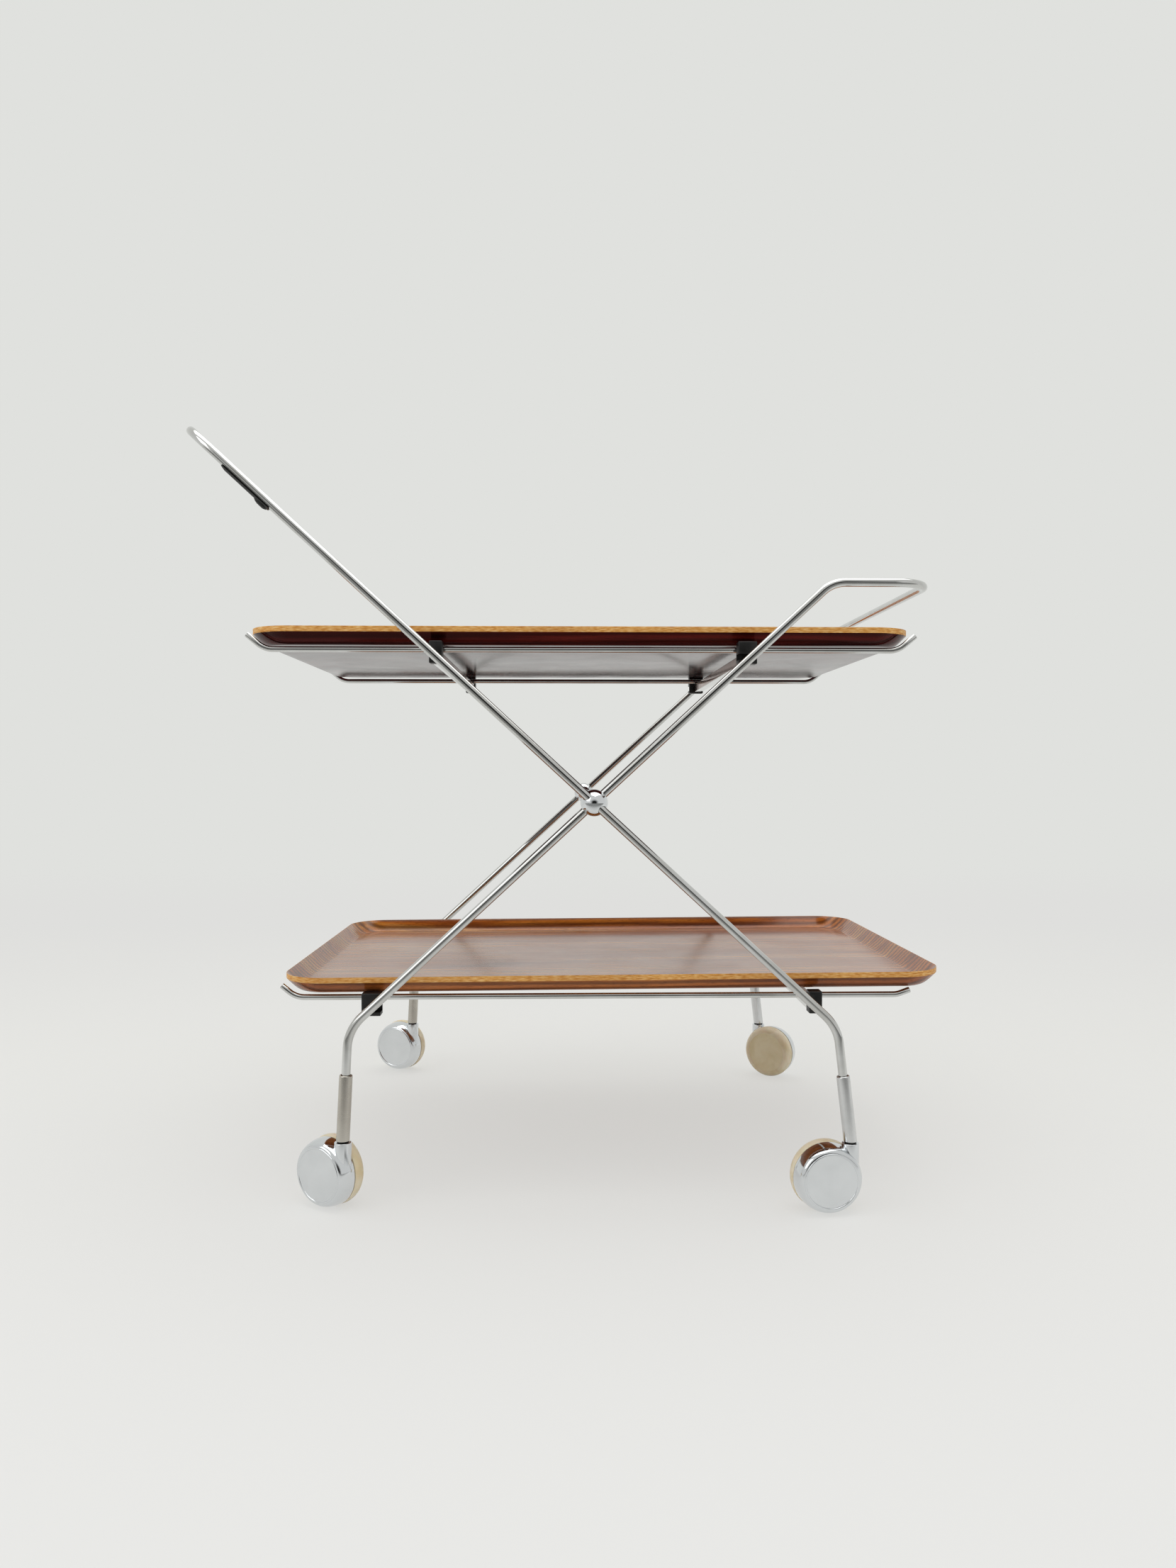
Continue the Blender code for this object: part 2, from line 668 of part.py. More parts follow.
def make_pin(name, side, rod_y, place, hub, rod):
    """A shouldered pin whose spigot seats in the rod's inner side, its free end toward the rack."""
    inward = -ALONG_Y * SIDES[side]
    shoulder = at_y(place, rod_y) + inward * (ROD_RADIUS + GAP)
    free_end = BAR_HALF_LENGTH + PLUG_BASE + GAP
    length = abs(shoulder.y) - free_end
    profile = [
        (0, length),
        (PIN_RADIUS, length),
        (PIN_RADIUS, 0),
        (PIN_SPIGOT_RADIUS, 0),
        (PIN_SPIGOT_RADIUS, -PIN_SPIGOT_LENGTH),
        (0, -PIN_SPIGOT_LENGTH),
    ]
    turned(name, profile, hub, bare_steel, rod_matrix(shoulder, inward), PIN_SIDES)
    seat_end = shoulder - inward * (PIN_SPIGOT_LENGTH + GAP)
    seat_start = shoulder + inward * OVERRUN
    seat = cylinder(f"{name}_seat", seat_start, seat_end, PIN_SPIGOT_RADIUS + GAP, hub)
    combine(rod, seat)


def make_rack(level, hinge_place, span, wire_half, wire_centre, tips, rods, hubs):
    """Wires, bars, plugs and pins of one rack. span is the distance from hinge bar to hook bar."""
    rack = make_empty(f"{level}_rack_hinge", hinge_place, hubs["long"])
    left = wire_centre - wire_half - hinge_place.x
    right = wire_centre + wire_half - hinge_place.x
    make_bar(f"{level}_hinge_bar", 0, rack)
    make_bar(f"{level}_hook_bar", span, rack)
    mouth = -1 if span > 0 else 1
    hook_place = hinge_place + Vector((span, 0, 0))
    for side in SIDES:
        make_wire(f"{level}_wire_{side}", SIDES[side] * WIRE_Y, left, right, tips, rack)
        make_eye(f"{level}_eye_plug_{side}", side, 0, rack)
        make_hook(f"{level}_hook_plug_{side}", side, span, mouth, rack)
        for kind, place, word in (("long", hinge_place, "hinge"), ("short", hook_place, "hook")):
            rod_y = FRAMES[kind]["rod_y"](side)
            make_pin(f"{level}_{word}_pin_{side}", side, rod_y, place, hubs[kind], rods[kind])
    return rack


# Trays


def rounded_outline(half_length, half_width, radius):
    """Corner arcs of a rounded rectangle, anticlockwise from above."""
    outline = []
    for index, (x_sign, y_sign) in enumerate(((1, 1), (-1, 1), (-1, -1), (1, -1))):
        for step in range(TRAY_CORNER_STEPS + 1):
            angle = pi / 2 * (index + step / TRAY_CORNER_STEPS)
            x = x_sign * (half_length - radius) + radius * cos(angle)
            y = y_sign * (half_width - radius) + radius * sin(angle)
            outline.append((x, y))
    return outline


def tray_profile():
    """Inset from the rim and height, out along the underside and back along the top face."""
    under = [
        (TRAY_FLARE * (1 - out_share), TRAY_FLARE_RISE * up_share)
        for out_share, up_share in zip(FLARE_OUT_SHARES, FLARE_UP_SHARES)
    ]
    top = [(TRAY_FLARE, TRAY_THICKNESS)]
    for before, here, after in zip(under, under[1:], under[2:]):
        slope = Vector((before[0] - after[0], after[1] - before[1])).normalized()
        top.append((here[0] + slope.y * TRAY_THICKNESS, here[1] + slope.x * TRAY_THICKNESS))
    before, rim = under[-2:]
    slope = Vector((before[0] - rim[0], rim[1] - before[1])).normalized()
    top.append((rim[0], rim[1] + TRAY_THICKNESS / slope.x))
    return under + top[::-1]


def make_tray(level, centre_x, rack, low_x=0, tilt=0):
    """A dish flared all round, as rings from its underside over the rim to its floor.

    A tilted one keeps its seat's height over low_x and rises to the right of it."""
    place = (centre_x - rack.location.x, 0, TRAY_SEAT + tan(tilt) * (centre_x - low_x))
    lift = make_empty(f"{level}_tray_lift", place, rack)
    lift.rotation_euler.y = -tilt
    shape = bmesh.new()
    rings = []
    for inset, height in tray_profile():
        outline = rounded_outline(
            TRAY_LENGTH / 2 - inset, TRAY_WIDTH / 2 - inset, TRAY_CORNER_RADIUS - inset
        )
        rings.append([shape.verts.new((x, y, height)) for x, y in outline])
    shape.faces.new(reversed(rings[0]))
    shape.faces.new(rings[-1])
    count = len(rings[0])
    for lower, upper in zip(rings, rings[1:]):
        for index in range(count):
            after = (index + 1) % count
            shape.faces.new((lower[index], lower[after], upper[after], upper[index]))
    add_object(f"{level}_tray", finish_bmesh(f"{level}_tray", shape), lift, rosewood)


# Handle clip


def clip_cutter(name, low, high, middle, downward, hub):
    """A block in the rod's own directions: away from the viewer, downward and along the rod."""
    size = Vector(high) - Vector(low)
    centre = (Vector(high) + Vector(low)) / 2
    shape = bmesh.new()
    bmesh.ops.create_cube(shape, size=1, matrix=Matrix.Diagonal((*size, 1)))
    turn = Matrix((ALONG_Y, downward, ROD_UP_LEFT)).transposed().to_4x4()
    matrix = Matrix.Translation(middle) @ turn @ Matrix.Translation(centre)
    return add_object(name, finish_bmesh(name, shape), hub, None, matrix)


def make_clip(hub):
    """A clip that hugs the long handle's near rod from below and behind, with a bump at its end."""
    start = at_y(ROD_UP_LEFT * CLIP_START_REACH, long_rod_y("near"))
    end = start + ROD_UP_LEFT * CLIP_LENGTH
    outer = ROD_RADIUS + GAP + CLIP_WALL
    clip = cylinder("handle_clip", start, end, outer, hub, black_plastic, ROUND_SIDES)
    downward = ROD_UP_LEFT.cross(ALONG_Y)
    bump_start = start + downward * CLIP_BUMP_DROP
    bump_end = bump_start + ROD_UP_LEFT * CLIP_BUMP_LENGTH
    bump = cylinder("clip_bump", bump_start, bump_end, CLIP_BUMP_RADIUS, hub, sides=PIN_SIDES)
    combine(clip, bump, "UNION")
    past = ROD_UP_LEFT * OVERRUN
    rod_space = cylinder("clip_bore", start - past, end + past, ROD_RADIUS + GAP, hub, None, ROUND_SIDES)
    combine(clip, rod_space)
    middle = (start + end) / 2
    beyond = outer + OVERRUN
    half = CLIP_LENGTH / 2 + OVERRUN
    front_low = (-beyond, -beyond, -half)
    front = clip_cutter("clip_front_opening", front_low, (0, CLIP_FRONT_LIP, half), middle, downward, hub)
    top_high = (beyond, -CLIP_REAR_LIP, half)
    top = clip_cutter("clip_top_opening", front_low, top_high, middle, downward, hub)
    combine(clip, front)
    combine(clip, top)


# Assembly


def centre_footprint(root):
    """Moves the whole trolley so that its box is centred over the origin."""
    bpy.context.view_layer.update()
    graph = bpy.context.evaluated_depsgraph_get()
    corners = []
    for obj in cart_pieces.objects:
        if obj.type == "MESH":
            shown = obj.evaluated_get(graph)
            corners += [shown.matrix_world @ vertex.co for vertex in shown.data.vertices]
    for axis in (0, 1):
        values = [corner[axis] for corner in corners]
        root.location[axis] = -(min(values) + max(values)) / 2


def smooth_rounds():
    """Shades round pieces smooth and keeps their edges sharp."""
    for obj in cart_pieces.objects:
        if obj.type == "MESH" and obj.data.polygons:
            obj.data.shade_smooth()
            obj.data.set_sharp_from_angle(angle=radians(35))


def build():
    root = make_empty("trolley_origin", (0, 0, 0))
    pivot = Vector((0, 0, PIVOT_HEIGHT))
    hubs = {
        "long": make_empty("long_frame_hub", pivot, root),
        "short": make_empty("fold_axis", pivot, root),
    }
    long_handle = ROD_UP_LEFT * LONG_HANDLE_REACH
    upper_bend = ROD_UP_RIGHT * SHORT_UPPER_BEND_REACH
    short_handle = upper_bend + Vector((SHORT_HANDLE_OVERHANG, 0, 0))
    rods = {
        "long": make_frame("long", [long_handle], [LONG_CORNER_RADIUS], hubs["long"]),
        "short": make_frame(
            "short",
            [upper_bend, short_handle],
            [SHORT_UPPER_BEND_RADIUS, SHORT_CORNER_RADIUS],
            hubs["short"],
        ),
    }
    for side in SIDES:
        make_ball(side, rods, hubs)
        for kind in FRAMES:
            make_sleeve(kind, side, hubs[kind])
            make_caster(kind, side, hubs[kind])
    upper_hinge = ROD_UP_LEFT * UPPER_PIN_REACH
    lower_hinge = -ROD_UP_LEFT * LOWER_PIN_REACH
    high_tip = (WIRE_TIP_RISE, WIRE_TIP_ANGLE)
    lower_tips = ((LOWER_LEFT_TIP_RISE, WIRE_TIP_ANGLE), (UNDER_TRAY_TIP_RISE, UNDER_TRAY_TIP_ANGLE))
    upper_span = -2 * upper_hinge.x
    lower_span = -2 * lower_hinge.x
    upper_rack = make_rack(
        "upper", upper_hinge, upper_span, UPPER_WIRE_HALF, -UPPER_WIRE_TO_LEFT,
        (high_tip, high_tip), rods, hubs,
    )
    lower_rack = make_rack(
        "lower", lower_hinge, lower_span, LOWER_WIRE_HALF, LOWER_WIRE_TO_RIGHT,
        lower_tips, rods, hubs,
    )
    make_tray("upper", -UPPER_TRAY_TO_LEFT, upper_rack)
    make_tray("lower", LOWER_TRAY_TO_RIGHT, lower_rack, -lower_hinge.x, LOWER_TRAY_TILT)
    make_clip(hubs["long"])
    smooth_rounds()
    centre_footprint(root)
    bpy.context.view_layer.update()
    for obj in cart_pieces.objects:
        if obj.type == "EMPTY":
            print(obj.name, [round(value, 6) for value in obj.matrix_world.translation])


build()
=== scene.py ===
# Folding serving trolley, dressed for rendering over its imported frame
# Metres, +Z up, +X to the short handle, -Y to the viewer
import json
from math import cos, pi, radians, sin, tan

import bmesh
import bpy
from mathutils import Matrix, Vector
from mathutils.geometry import interpolate_bezier

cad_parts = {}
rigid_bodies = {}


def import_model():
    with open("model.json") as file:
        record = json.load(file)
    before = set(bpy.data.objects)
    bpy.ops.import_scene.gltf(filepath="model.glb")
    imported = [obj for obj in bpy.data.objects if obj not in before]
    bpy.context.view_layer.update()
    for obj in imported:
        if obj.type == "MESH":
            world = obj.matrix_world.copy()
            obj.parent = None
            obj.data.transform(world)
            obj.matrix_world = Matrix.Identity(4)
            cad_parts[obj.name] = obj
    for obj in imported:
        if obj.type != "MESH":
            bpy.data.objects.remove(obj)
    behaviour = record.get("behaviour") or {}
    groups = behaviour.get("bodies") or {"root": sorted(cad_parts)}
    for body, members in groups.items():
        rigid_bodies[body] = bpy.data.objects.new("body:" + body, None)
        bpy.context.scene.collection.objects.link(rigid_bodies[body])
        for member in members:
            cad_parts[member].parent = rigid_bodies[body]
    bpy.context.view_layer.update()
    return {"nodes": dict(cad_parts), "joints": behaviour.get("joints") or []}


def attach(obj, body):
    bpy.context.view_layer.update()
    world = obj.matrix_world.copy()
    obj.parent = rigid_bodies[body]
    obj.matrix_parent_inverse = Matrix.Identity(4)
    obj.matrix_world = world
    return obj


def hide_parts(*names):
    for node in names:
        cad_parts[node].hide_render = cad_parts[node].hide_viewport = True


for leftover in list(bpy.data.objects):
    bpy.data.objects.remove(leftover, do_unlink=True)
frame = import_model()
joints = {joint["name"]: joint for joint in frame["joints"]}
pivot = Vector(joints["fold"]["pos_m"])
sideSigns = {"near": -1, "far": 1}
alongY = Vector((0, 1, 0))
print("frame loaded:", len(frame["nodes"]), "nodes")


# Small helpers for materials

def linearColour(hexCode):
    channels = [int(hexCode[start:start + 2], 16) / 255 for start in (1, 3, 5)]
    curved = [c / 12.92 if c <= 0.04045 else ((c + 0.055) / 1.055) ** 2.4 for c in channels]
    return (*curved, 1)


def feedNode(tree, node, feeds):
    # Links an output, or sets a number, vector or hex colour
    for socket, value in feeds.items():
        if isinstance(value, bpy.types.NodeSocket):
            tree.links.new(value, node.inputs[socket])
        else:
            node.inputs[socket].default_value = linearColour(value) if isinstance(value, str) else value
    return node


def addNode(tree, kind, settings=None, feeds=None):
    node = tree.nodes.new(kind)
    for name, value in (settings or {}).items():
        setattr(node, name, value)
    return feedNode(tree, node, feeds or {})


def newMaterial(name):
    material = bpy.data.materials.new(name)
    material.use_nodes = True
    tree = material.node_tree
    return material, tree, tree.nodes["Principled BSDF"]


def objectPoints(tree, scale=(1, 1, 1), shift=(0, 0, 0), turn=(0, 0, 0)):
    coords = addNode(tree, "ShaderNodeTexCoord")
    return addNode(tree, "ShaderNodeMapping", feeds={
        "Vector": coords.outputs["Object"],
        "Scale": scale,
        "Location": shift,
        "Rotation": turn,
    }).outputs["Vector"]


def shadeAlong(tree, value, stops):
    # A colour ramp, read at the value
    stops = list(stops)
    node = addNode(tree, "ShaderNodeValToRGB", feeds={"Fac": value})
    elements = node.color_ramp.elements
    while len(elements) < len(stops):
        elements.new(0.5)
    for element, (place, colour) in zip(elements, stops):
        element.position = place
        element.color = linearColour(colour)
    return node.outputs["Color"]


def rangeOf(tree, value, source, target):
    sockets = ("Value", "From Min", "From Max", "To Min", "To Max")
    feeds = dict(zip(sockets, (value, *source, *target)))
    return addNode(tree, "ShaderNodeMapRange", feeds=feeds).outputs["Result"]


def noiseAt(tree, points, scale, detail=3, distortion=0.0):
    return addNode(tree, "ShaderNodeTexNoise", feeds={
        "Vector": points,
        "Scale": scale,
        "Detail": detail,
        "Distortion": distortion,
    }).outputs["Fac"]


def calculate(tree, operation, first, second, clamped=False):
    settings = {"operation": operation, "use_clamp": clamped}
    return addNode(tree, "ShaderNodeMath", settings, {0: first, 1: second}).outputs[0]


def mixColours(tree, factor, first, second):
    # Sockets by index, since their names repeat
    return addNode(tree, "ShaderNodeMix", {"data_type": "RGBA"}, {0: factor, 6: first, 7: second}).outputs[2]


def bumpFrom(tree, height, distance, strength, before=None):
    feeds = {"Height": height, "Distance": distance, "Strength": strength}
    if before is not None:
        feeds["Normal"] = before
    return addNode(tree, "ShaderNodeBump", feeds=feeds).outputs["Normal"]


# Metals. A value named noise is the span of a noise over which its effect grows

metals = {
    "smearSize": 0.030,
    "smearSwirl": 0.4,
    "dullingNoise": (0.35, 0.70),
    "smearNoise": (0.30, 0.75),
    "speckSize": 0.0006,
    "speckNoise": (0.66, 0.74),
    "speckDulling": (0.0, 0.18),
    "waveScale": 260,
    "waveHeight": 0.00002,
    "waveStrength": 0.35,
    "steelColours": ("#8F8E8A", "#A9A8A4"),
    "steelRoughness": (0.28, 0.42),
    "turningScale": (400, 4000, 400),
    "turningNoise": (0.3, 0.7),
}
plates = {  # roughness wiped clean and dulled by handling, clean colour, smeared colour
    "chromiumPlateOnRod": ((0.04, 0.12), "#D6D7D6", "#C3C3BF"),
    "chromiumPlateOnCasting": ((0.045, 0.12), "#E0E3E5", "#D8DBDD"),
    "satinPlateOnSleeves": ((0.20, 0.30), "#C4C0B7", "#B4AFA6"),
    "paleSatinPlateOnSleeves": ((0.14, 0.24), "#DADBDB", "#CBCCCC"),
    # these brown colours are a painted reflection of the upper tray's underside on the bars' sides
    "chromePlateWithPaintedReflectionOnTubeSides": ((0.10, 0.20), "#7A4524", "#6A3A1E"),
}


def makePlate(name, roughness, clean, smear):
    # Chromium plate on steel, polished or satin, or tinted brown as a painted reflection of the tray's brown
    # underside, and dulled in patches by long use
    material, tree, shader = newMaterial(name)
    points = objectPoints(tree)
    patches = noiseAt(tree, points, 1 / metals["smearSize"], 4, metals["smearSwirl"])
    specks = noiseAt(tree, points, 1 / metals["speckSize"], 2)
    waves = noiseAt(tree, points, metals["waveScale"], 2)
    dull = rangeOf(tree, patches, metals["dullingNoise"], roughness)
    pitted = rangeOf(tree, specks, metals["speckNoise"], metals["speckDulling"])
    feedNode(tree, shader, {
        "Base Color": shadeAlong(tree, patches, zip(metals["smearNoise"], (clean, smear))),
        "Roughness": calculate(tree, "ADD", dull, pitted),
        "Metallic": 1.0,
        "Normal": bumpFrom(tree, waves, metals["waveHeight"], metals["waveStrength"]),
    })
    return material


def makePlatedSteel():
    # Zinc plated steel pins and axles: grey, with a fine turned texture
    material, tree, shader = newMaterial("zincPlatedSteel")
    turning = noiseAt(tree, objectPoints(tree, metals["turningScale"]), 1.0)
    feedNode(tree, shader, {
        "Base Color": shadeAlong(tree, turning, zip(metals["turningNoise"], metals["steelColours"])),
        "Roughness": rangeOf(tree, turning, metals["turningNoise"], metals["steelRoughness"]),
        "Metallic": 1.0,
    })
    return material


chromePlate, brightPlate, satinPlate, paleSatinPlate, paintedReflectionBrownPlate = (
    makePlate(name, *facts) for name, facts in plates.items()
)
platedSteel = makePlatedSteel()


# Plastics

plastics = {
    "stainSwirl": 0.6,
    "stainNoise": (0.38, 0.72),
    "wearNoise": (0.3, 0.7),
    "grainSize": 0.0009,
    "grainHeight": 0.00004,
    "grainStrength": 0.5,
    "ior": 1.5,
    "scatterDepth": 0.002,
}
mouldings = {  # clean colour, stained colour, roughness, stain size, share of light under the skin
    "mouldedBlackPlastic": ("#0B0B0A", "#191817", (0.35, 0.5), 0.012, 0.0),
    "mouldedCreamTread": ("#F0E4CA", "#E0CFA8", (0.38, 0.5), 0.016, 0.1),
    "mouldedCreamFace": ("#EFE3C2", "#E0D0A6", (0.42, 0.55), 0.022, 0.05),
}


def makeMoulded(name, clean, stained, roughness, stainSize, scatter):
    # Injection moulded plastic: satin skin, faint mould grain, yellowed and soiled in patches
    material, tree, shader = newMaterial(name)
    points = objectPoints(tree)
    stains = noiseAt(tree, points, 1 / stainSize, 5, plastics["stainSwirl"])
    grain = noiseAt(tree, points, 1 / plastics["grainSize"], 2)
    feedNode(tree, shader, {
        "Base Color": shadeAlong(tree, stains, zip(plastics["stainNoise"], (clean, stained))),
        "Roughness": rangeOf(tree, stains, plastics["wearNoise"], roughness),
        "Normal": bumpFrom(tree, grain, plastics["grainHeight"], plastics["grainStrength"]),
        "IOR": plastics["ior"],
        "Subsurface Weight": scatter,
        "Subsurface Scale": plastics["scatterDepth"],
    })
    return material


blackAcetal, creamTread, creamFace = (makeMoulded(name, *facts) for name, facts in mouldings.items())


# Woods

woods = {
    "figureWidth": 0.034,  # broad light and dark bands of the veneer leaf
    "figureStretch": 9.0,
    "figureSwirl": 0.9,
    "lineSpacing": 0.0085,  # growth lines
    "lineStretch": 20,
    "lineWander": {"Distortion": 7.0, "Detail": 3.0, "Detail Scale": 0.9, "Detail Roughness": 0.6},
    "lineNoise": (0.05, 0.85),
    "lineShade": (0.66, 0.0),
    "fibreWidth": 0.0011,
    "fibreStretch": 34,
    "fibreNoise": (0.35, 0.65),
    "fibreShade": (0.28, 0.0),
    "fibreHeight": 0.000004,
    "fibreStrength": 0.4,
    "poreWidth": 0.0005,
    "poreLength": 0.009,
    "poreNoise": (0.60, 0.68),
    "poreShade": (0.0, 0.7),
    "poreColour": "#140705",
    "poreHeight": -0.000008,
    "poreStrength": 0.5,
    "wearScale": 14,
    "wearSwirl": 0.5,
    "wearNoise": (0.3, 0.7),
    "coatRoughness": 0.12,
    "bandWavelength": 0.314,  # of Blender's wave texture at a scale of 1
}
# the inner faces' leaf: the rosewood's own red-brown, lightened as painted light against the upper tray's
# shade on the lower tray
paintedLightRedLeaf = [(0.26, "#7A3412"), (0.42, "#B8621F"), (0.52, "#D07A2A"), (0.64, "#DC9444"), (0.78, "#853B17")]
brownLeaf = [(0.26, "#74391A"), (0.42, "#9C5529"), (0.52, "#B06530"), (0.64, "#C0743A"), (0.78, "#80401F")]
# the upper tray's back: the same rosewood veneer painted near-black, as painted shade under the tray
paintedShadeDarkLeaf = [(0.26, "#180606"), (0.42, "#300B0A"), (0.52, "#48120F"), (0.64, "#561813"), (0.78, "#1C0807")]
innerFinish = {"roughness": (0.15, 0.24), "ior": 1.5, "tint": "#FFE8DC", "coat": 0.3}
upperBackFinish = {"roughness": (0.10, 0.18), "ior": 1.42, "tint": "#C05048", "coat": 0.0}
lowerBackFinish = {"roughness": (0.18, 0.28), "ior": 1.38, "tint": "#F0B890", "coat": 0.0}
veneers = {  # leaf, colour of its lines, finish, place in the log, turn of the leaf in degrees
    "lacqueredRosewoodUpper": (paintedLightRedLeaf, "#3A150A", innerFinish, (1.7, 0.3, 0.0), 2),
    "lacqueredRosewoodLower": (paintedLightRedLeaf, "#3A150A", innerFinish, (5.2, 2.9, 0.0), -3),
    # the upper back's leaf and its line colour are painted shade
    "lacqueredRosewoodUpperBack": (paintedShadeDarkLeaf, "#0E0504", upperBackFinish, (3.1, 6.3, 0.0), 1),
    "lacqueredRosewoodLowerBack": (brownLeaf, "#3A1B0F", lowerBackFinish, (8.2, 4.4, 0.0), -1),
}
plywood = {
    "layers": 5,
    "shades": [(0.30, "#B87424"), (0.48, "#DB9D48"), (0.66, "#ECC07C")],
    "speckleScale": (160, 160, 900),
    "speckleNoise": (0.3, 0.7),
    "roughness": (0.38, 0.52),
    "grainHeight": 0.00005,
    "grainStrength": 0.5,
    "agedColour": "#9C5A1E",
    "agedScale": 9,
    "agedNoise": (0.4, 0.7),
    "agedShade": (0.0, 0.35),
    "glueColour": "#6B3A12",
    "glueSpan": (0.0, 0.14),  # share of a layer
    "glueShade": (0.55, 0.0),
    "ior": 1.5,
}


def makeRosewood(name, leafStops, lineColour, finish, shift, turn):
    # Sliced rosewood veneer under satin lacquer: red-brown with near-black lines and open pores
    material, tree, shader = newMaterial(name)
    leafTurn = (0, 0, radians(turn))
    across = 1 / woods["figureWidth"]
    figurePoints = objectPoints(tree, (across / woods["figureStretch"], across, across), shift, leafTurn)
    leaf = shadeAlong(tree, noiseAt(tree, figurePoints, 1.0, 3, woods["figureSwirl"]), leafStops)
    period = woods["bandWavelength"] / woods["lineSpacing"]
    lines = addNode(tree, "ShaderNodeTexWave", {"wave_type": "BANDS", "bands_direction": "Y"}, {
        "Vector": objectPoints(tree, (period / woods["lineStretch"], period, period), shift, leafTurn),
        "Scale": 1.0,
        **woods["lineWander"],
    }).outputs["Fac"]
    fibre = 1 / woods["fibreWidth"]
    fibres = noiseAt(tree, objectPoints(tree, (fibre / woods["fibreStretch"], fibre, fibre), shift), 1.0, 5)
    pore = 1 / woods["poreWidth"]
    poreField = noiseAt(tree, objectPoints(tree, (1 / woods["poreLength"], pore, pore), shift), 1.0, 2)
    pores = rangeOf(tree, poreField, woods["poreNoise"], (0.0, 1.0))
    lined = mixColours(tree, rangeOf(tree, lines, woods["lineNoise"], woods["lineShade"]), leaf, lineColour)
    fibreShade = rangeOf(tree, fibres, woods["fibreNoise"], woods["fibreShade"])
    fibred = mixColours(tree, fibreShade, lined, lineColour)
    poreShade = rangeOf(tree, pores, (0.0, 1.0), woods["poreShade"])
    worn = noiseAt(tree, objectPoints(tree), woods["wearScale"], 4, woods["wearSwirl"])
    relief = bumpFrom(tree, pores, woods["poreHeight"], woods["poreStrength"])
    feedNode(tree, shader, {
        "Base Color": mixColours(tree, poreShade, fibred, woods["poreColour"]),
        "Roughness": rangeOf(tree, worn, woods["wearNoise"], finish["roughness"]),
        "Normal": bumpFrom(tree, fibres, woods["fibreHeight"], woods["fibreStrength"], relief),
        "IOR": finish["ior"],
        "Specular Tint": finish["tint"],
        "Coat Weight": finish["coat"],
        "Coat Roughness": woods["coatRoughness"],
    })
    return material


def makePlyEdge():
    # Cut edge of beech plywood, sanded and lacquered: orange-blond, with thin glue lines
    material, tree, shader = newMaterial("lacqueredPlywoodEdge")
    height = addNode(tree, "ShaderNodeAttribute", {"attribute_name": "layer"}).outputs["Fac"]
    layer = calculate(tree, "FRACT", calculate(tree, "MULTIPLY", height, plywood["layers"]), 0.0)
    speckle = noiseAt(tree, objectPoints(tree, plywood["speckleScale"]), 1.0, 4)
    drift = noiseAt(tree, objectPoints(tree), plywood["agedScale"])
    ageing = rangeOf(tree, drift, plywood["agedNoise"], plywood["agedShade"])
    blond = shadeAlong(tree, speckle, plywood["shades"])
    aged = mixColours(tree, ageing, blond, plywood["agedColour"])
    glue = rangeOf(tree, layer, plywood["glueSpan"], plywood["glueShade"])
    feedNode(tree, shader, {
        "Base Color": mixColours(tree, glue, aged, plywood["glueColour"]),
        "Roughness": rangeOf(tree, speckle, plywood["speckleNoise"], plywood["roughness"]),
        "Normal": bumpFrom(tree, speckle, plywood["grainHeight"], plywood["grainStrength"]),
        "IOR": plywood["ior"],
    })
    return material


upperRosewood, lowerRosewood, upperBack, lowerBack = (
    makeRosewood(name, *facts) for name, facts in veneers.items()
)
plyEdge = makePlyEdge()
print("materials made:", len(bpy.data.materials))


# Mesh helpers

shapeRules = {
    "sharpAngle": radians(32),
    "mergeDistance": 0.000005,
    "ringSides": 28,
    "turnSides": 72,
    "casterSides": 96,
    "socketSides": 64,
    "pinSides": 40,
    "boreSides": 48,
    "bendSteps": 14,
    "curveSteps": 14,
    "cutPast": 0.003,  # how far a tool runs past its cut
    "facing": 0.9,  # least cosine of a face that faces an axis
}


def weld(mesh):
    bmesh.ops.remove_doubles(mesh, verts=mesh.verts, dist=shapeRules["mergeDistance"])


def smoothFaces(data):
    data.shade_smooth()
    data.set_sharp_from_angle(angle=shapeRules["sharpAngle"])


def addObject(name, data):
    added = bpy.data.objects.new(name, data)
    bpy.context.scene.collection.objects.link(added)
    return added


def toObject(mesh, name, materials=()):
    weld(mesh)
    bmesh.ops.recalc_face_normals(mesh, faces=mesh.faces)
    data = bpy.data.meshes.new(name)
    mesh.to_mesh(data)
    mesh.free()
    for material in materials:
        data.materials.append(material)
    smoothFaces(data)
    return addObject(name, data)


def dress(piece, body, slot, *nodes):
    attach(piece, body)
    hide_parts(*nodes)
    return piece


def paintNode(name, material):
    # For a CAD node that isn't replaced
    materials = frame["nodes"][name].data.materials
    materials.clear()
    materials.append(material)


def carve(piece, tool, operation="DIFFERENCE"):
    # Applies one exact Boolean and removes its tool
    step = piece.modifiers.new("carve", "BOOLEAN")
    step.operation = operation
    step.solver = "EXACT"
    step.object = tool
    bpy.context.view_layer.update()
    shown = piece.evaluated_get(bpy.context.evaluated_depsgraph_get())
    result = bpy.data.meshes.new_from_object(shown)
    piece.modifiers.clear()
    piece.data = result
    bpy.data.objects.remove(tool, do_unlink=True)
    smoothFaces(result)


def lineMatrix(start, direction):
    return Matrix.Translation(start) @ direction.to_track_quat("Z", "Y").to_matrix().to_4x4()


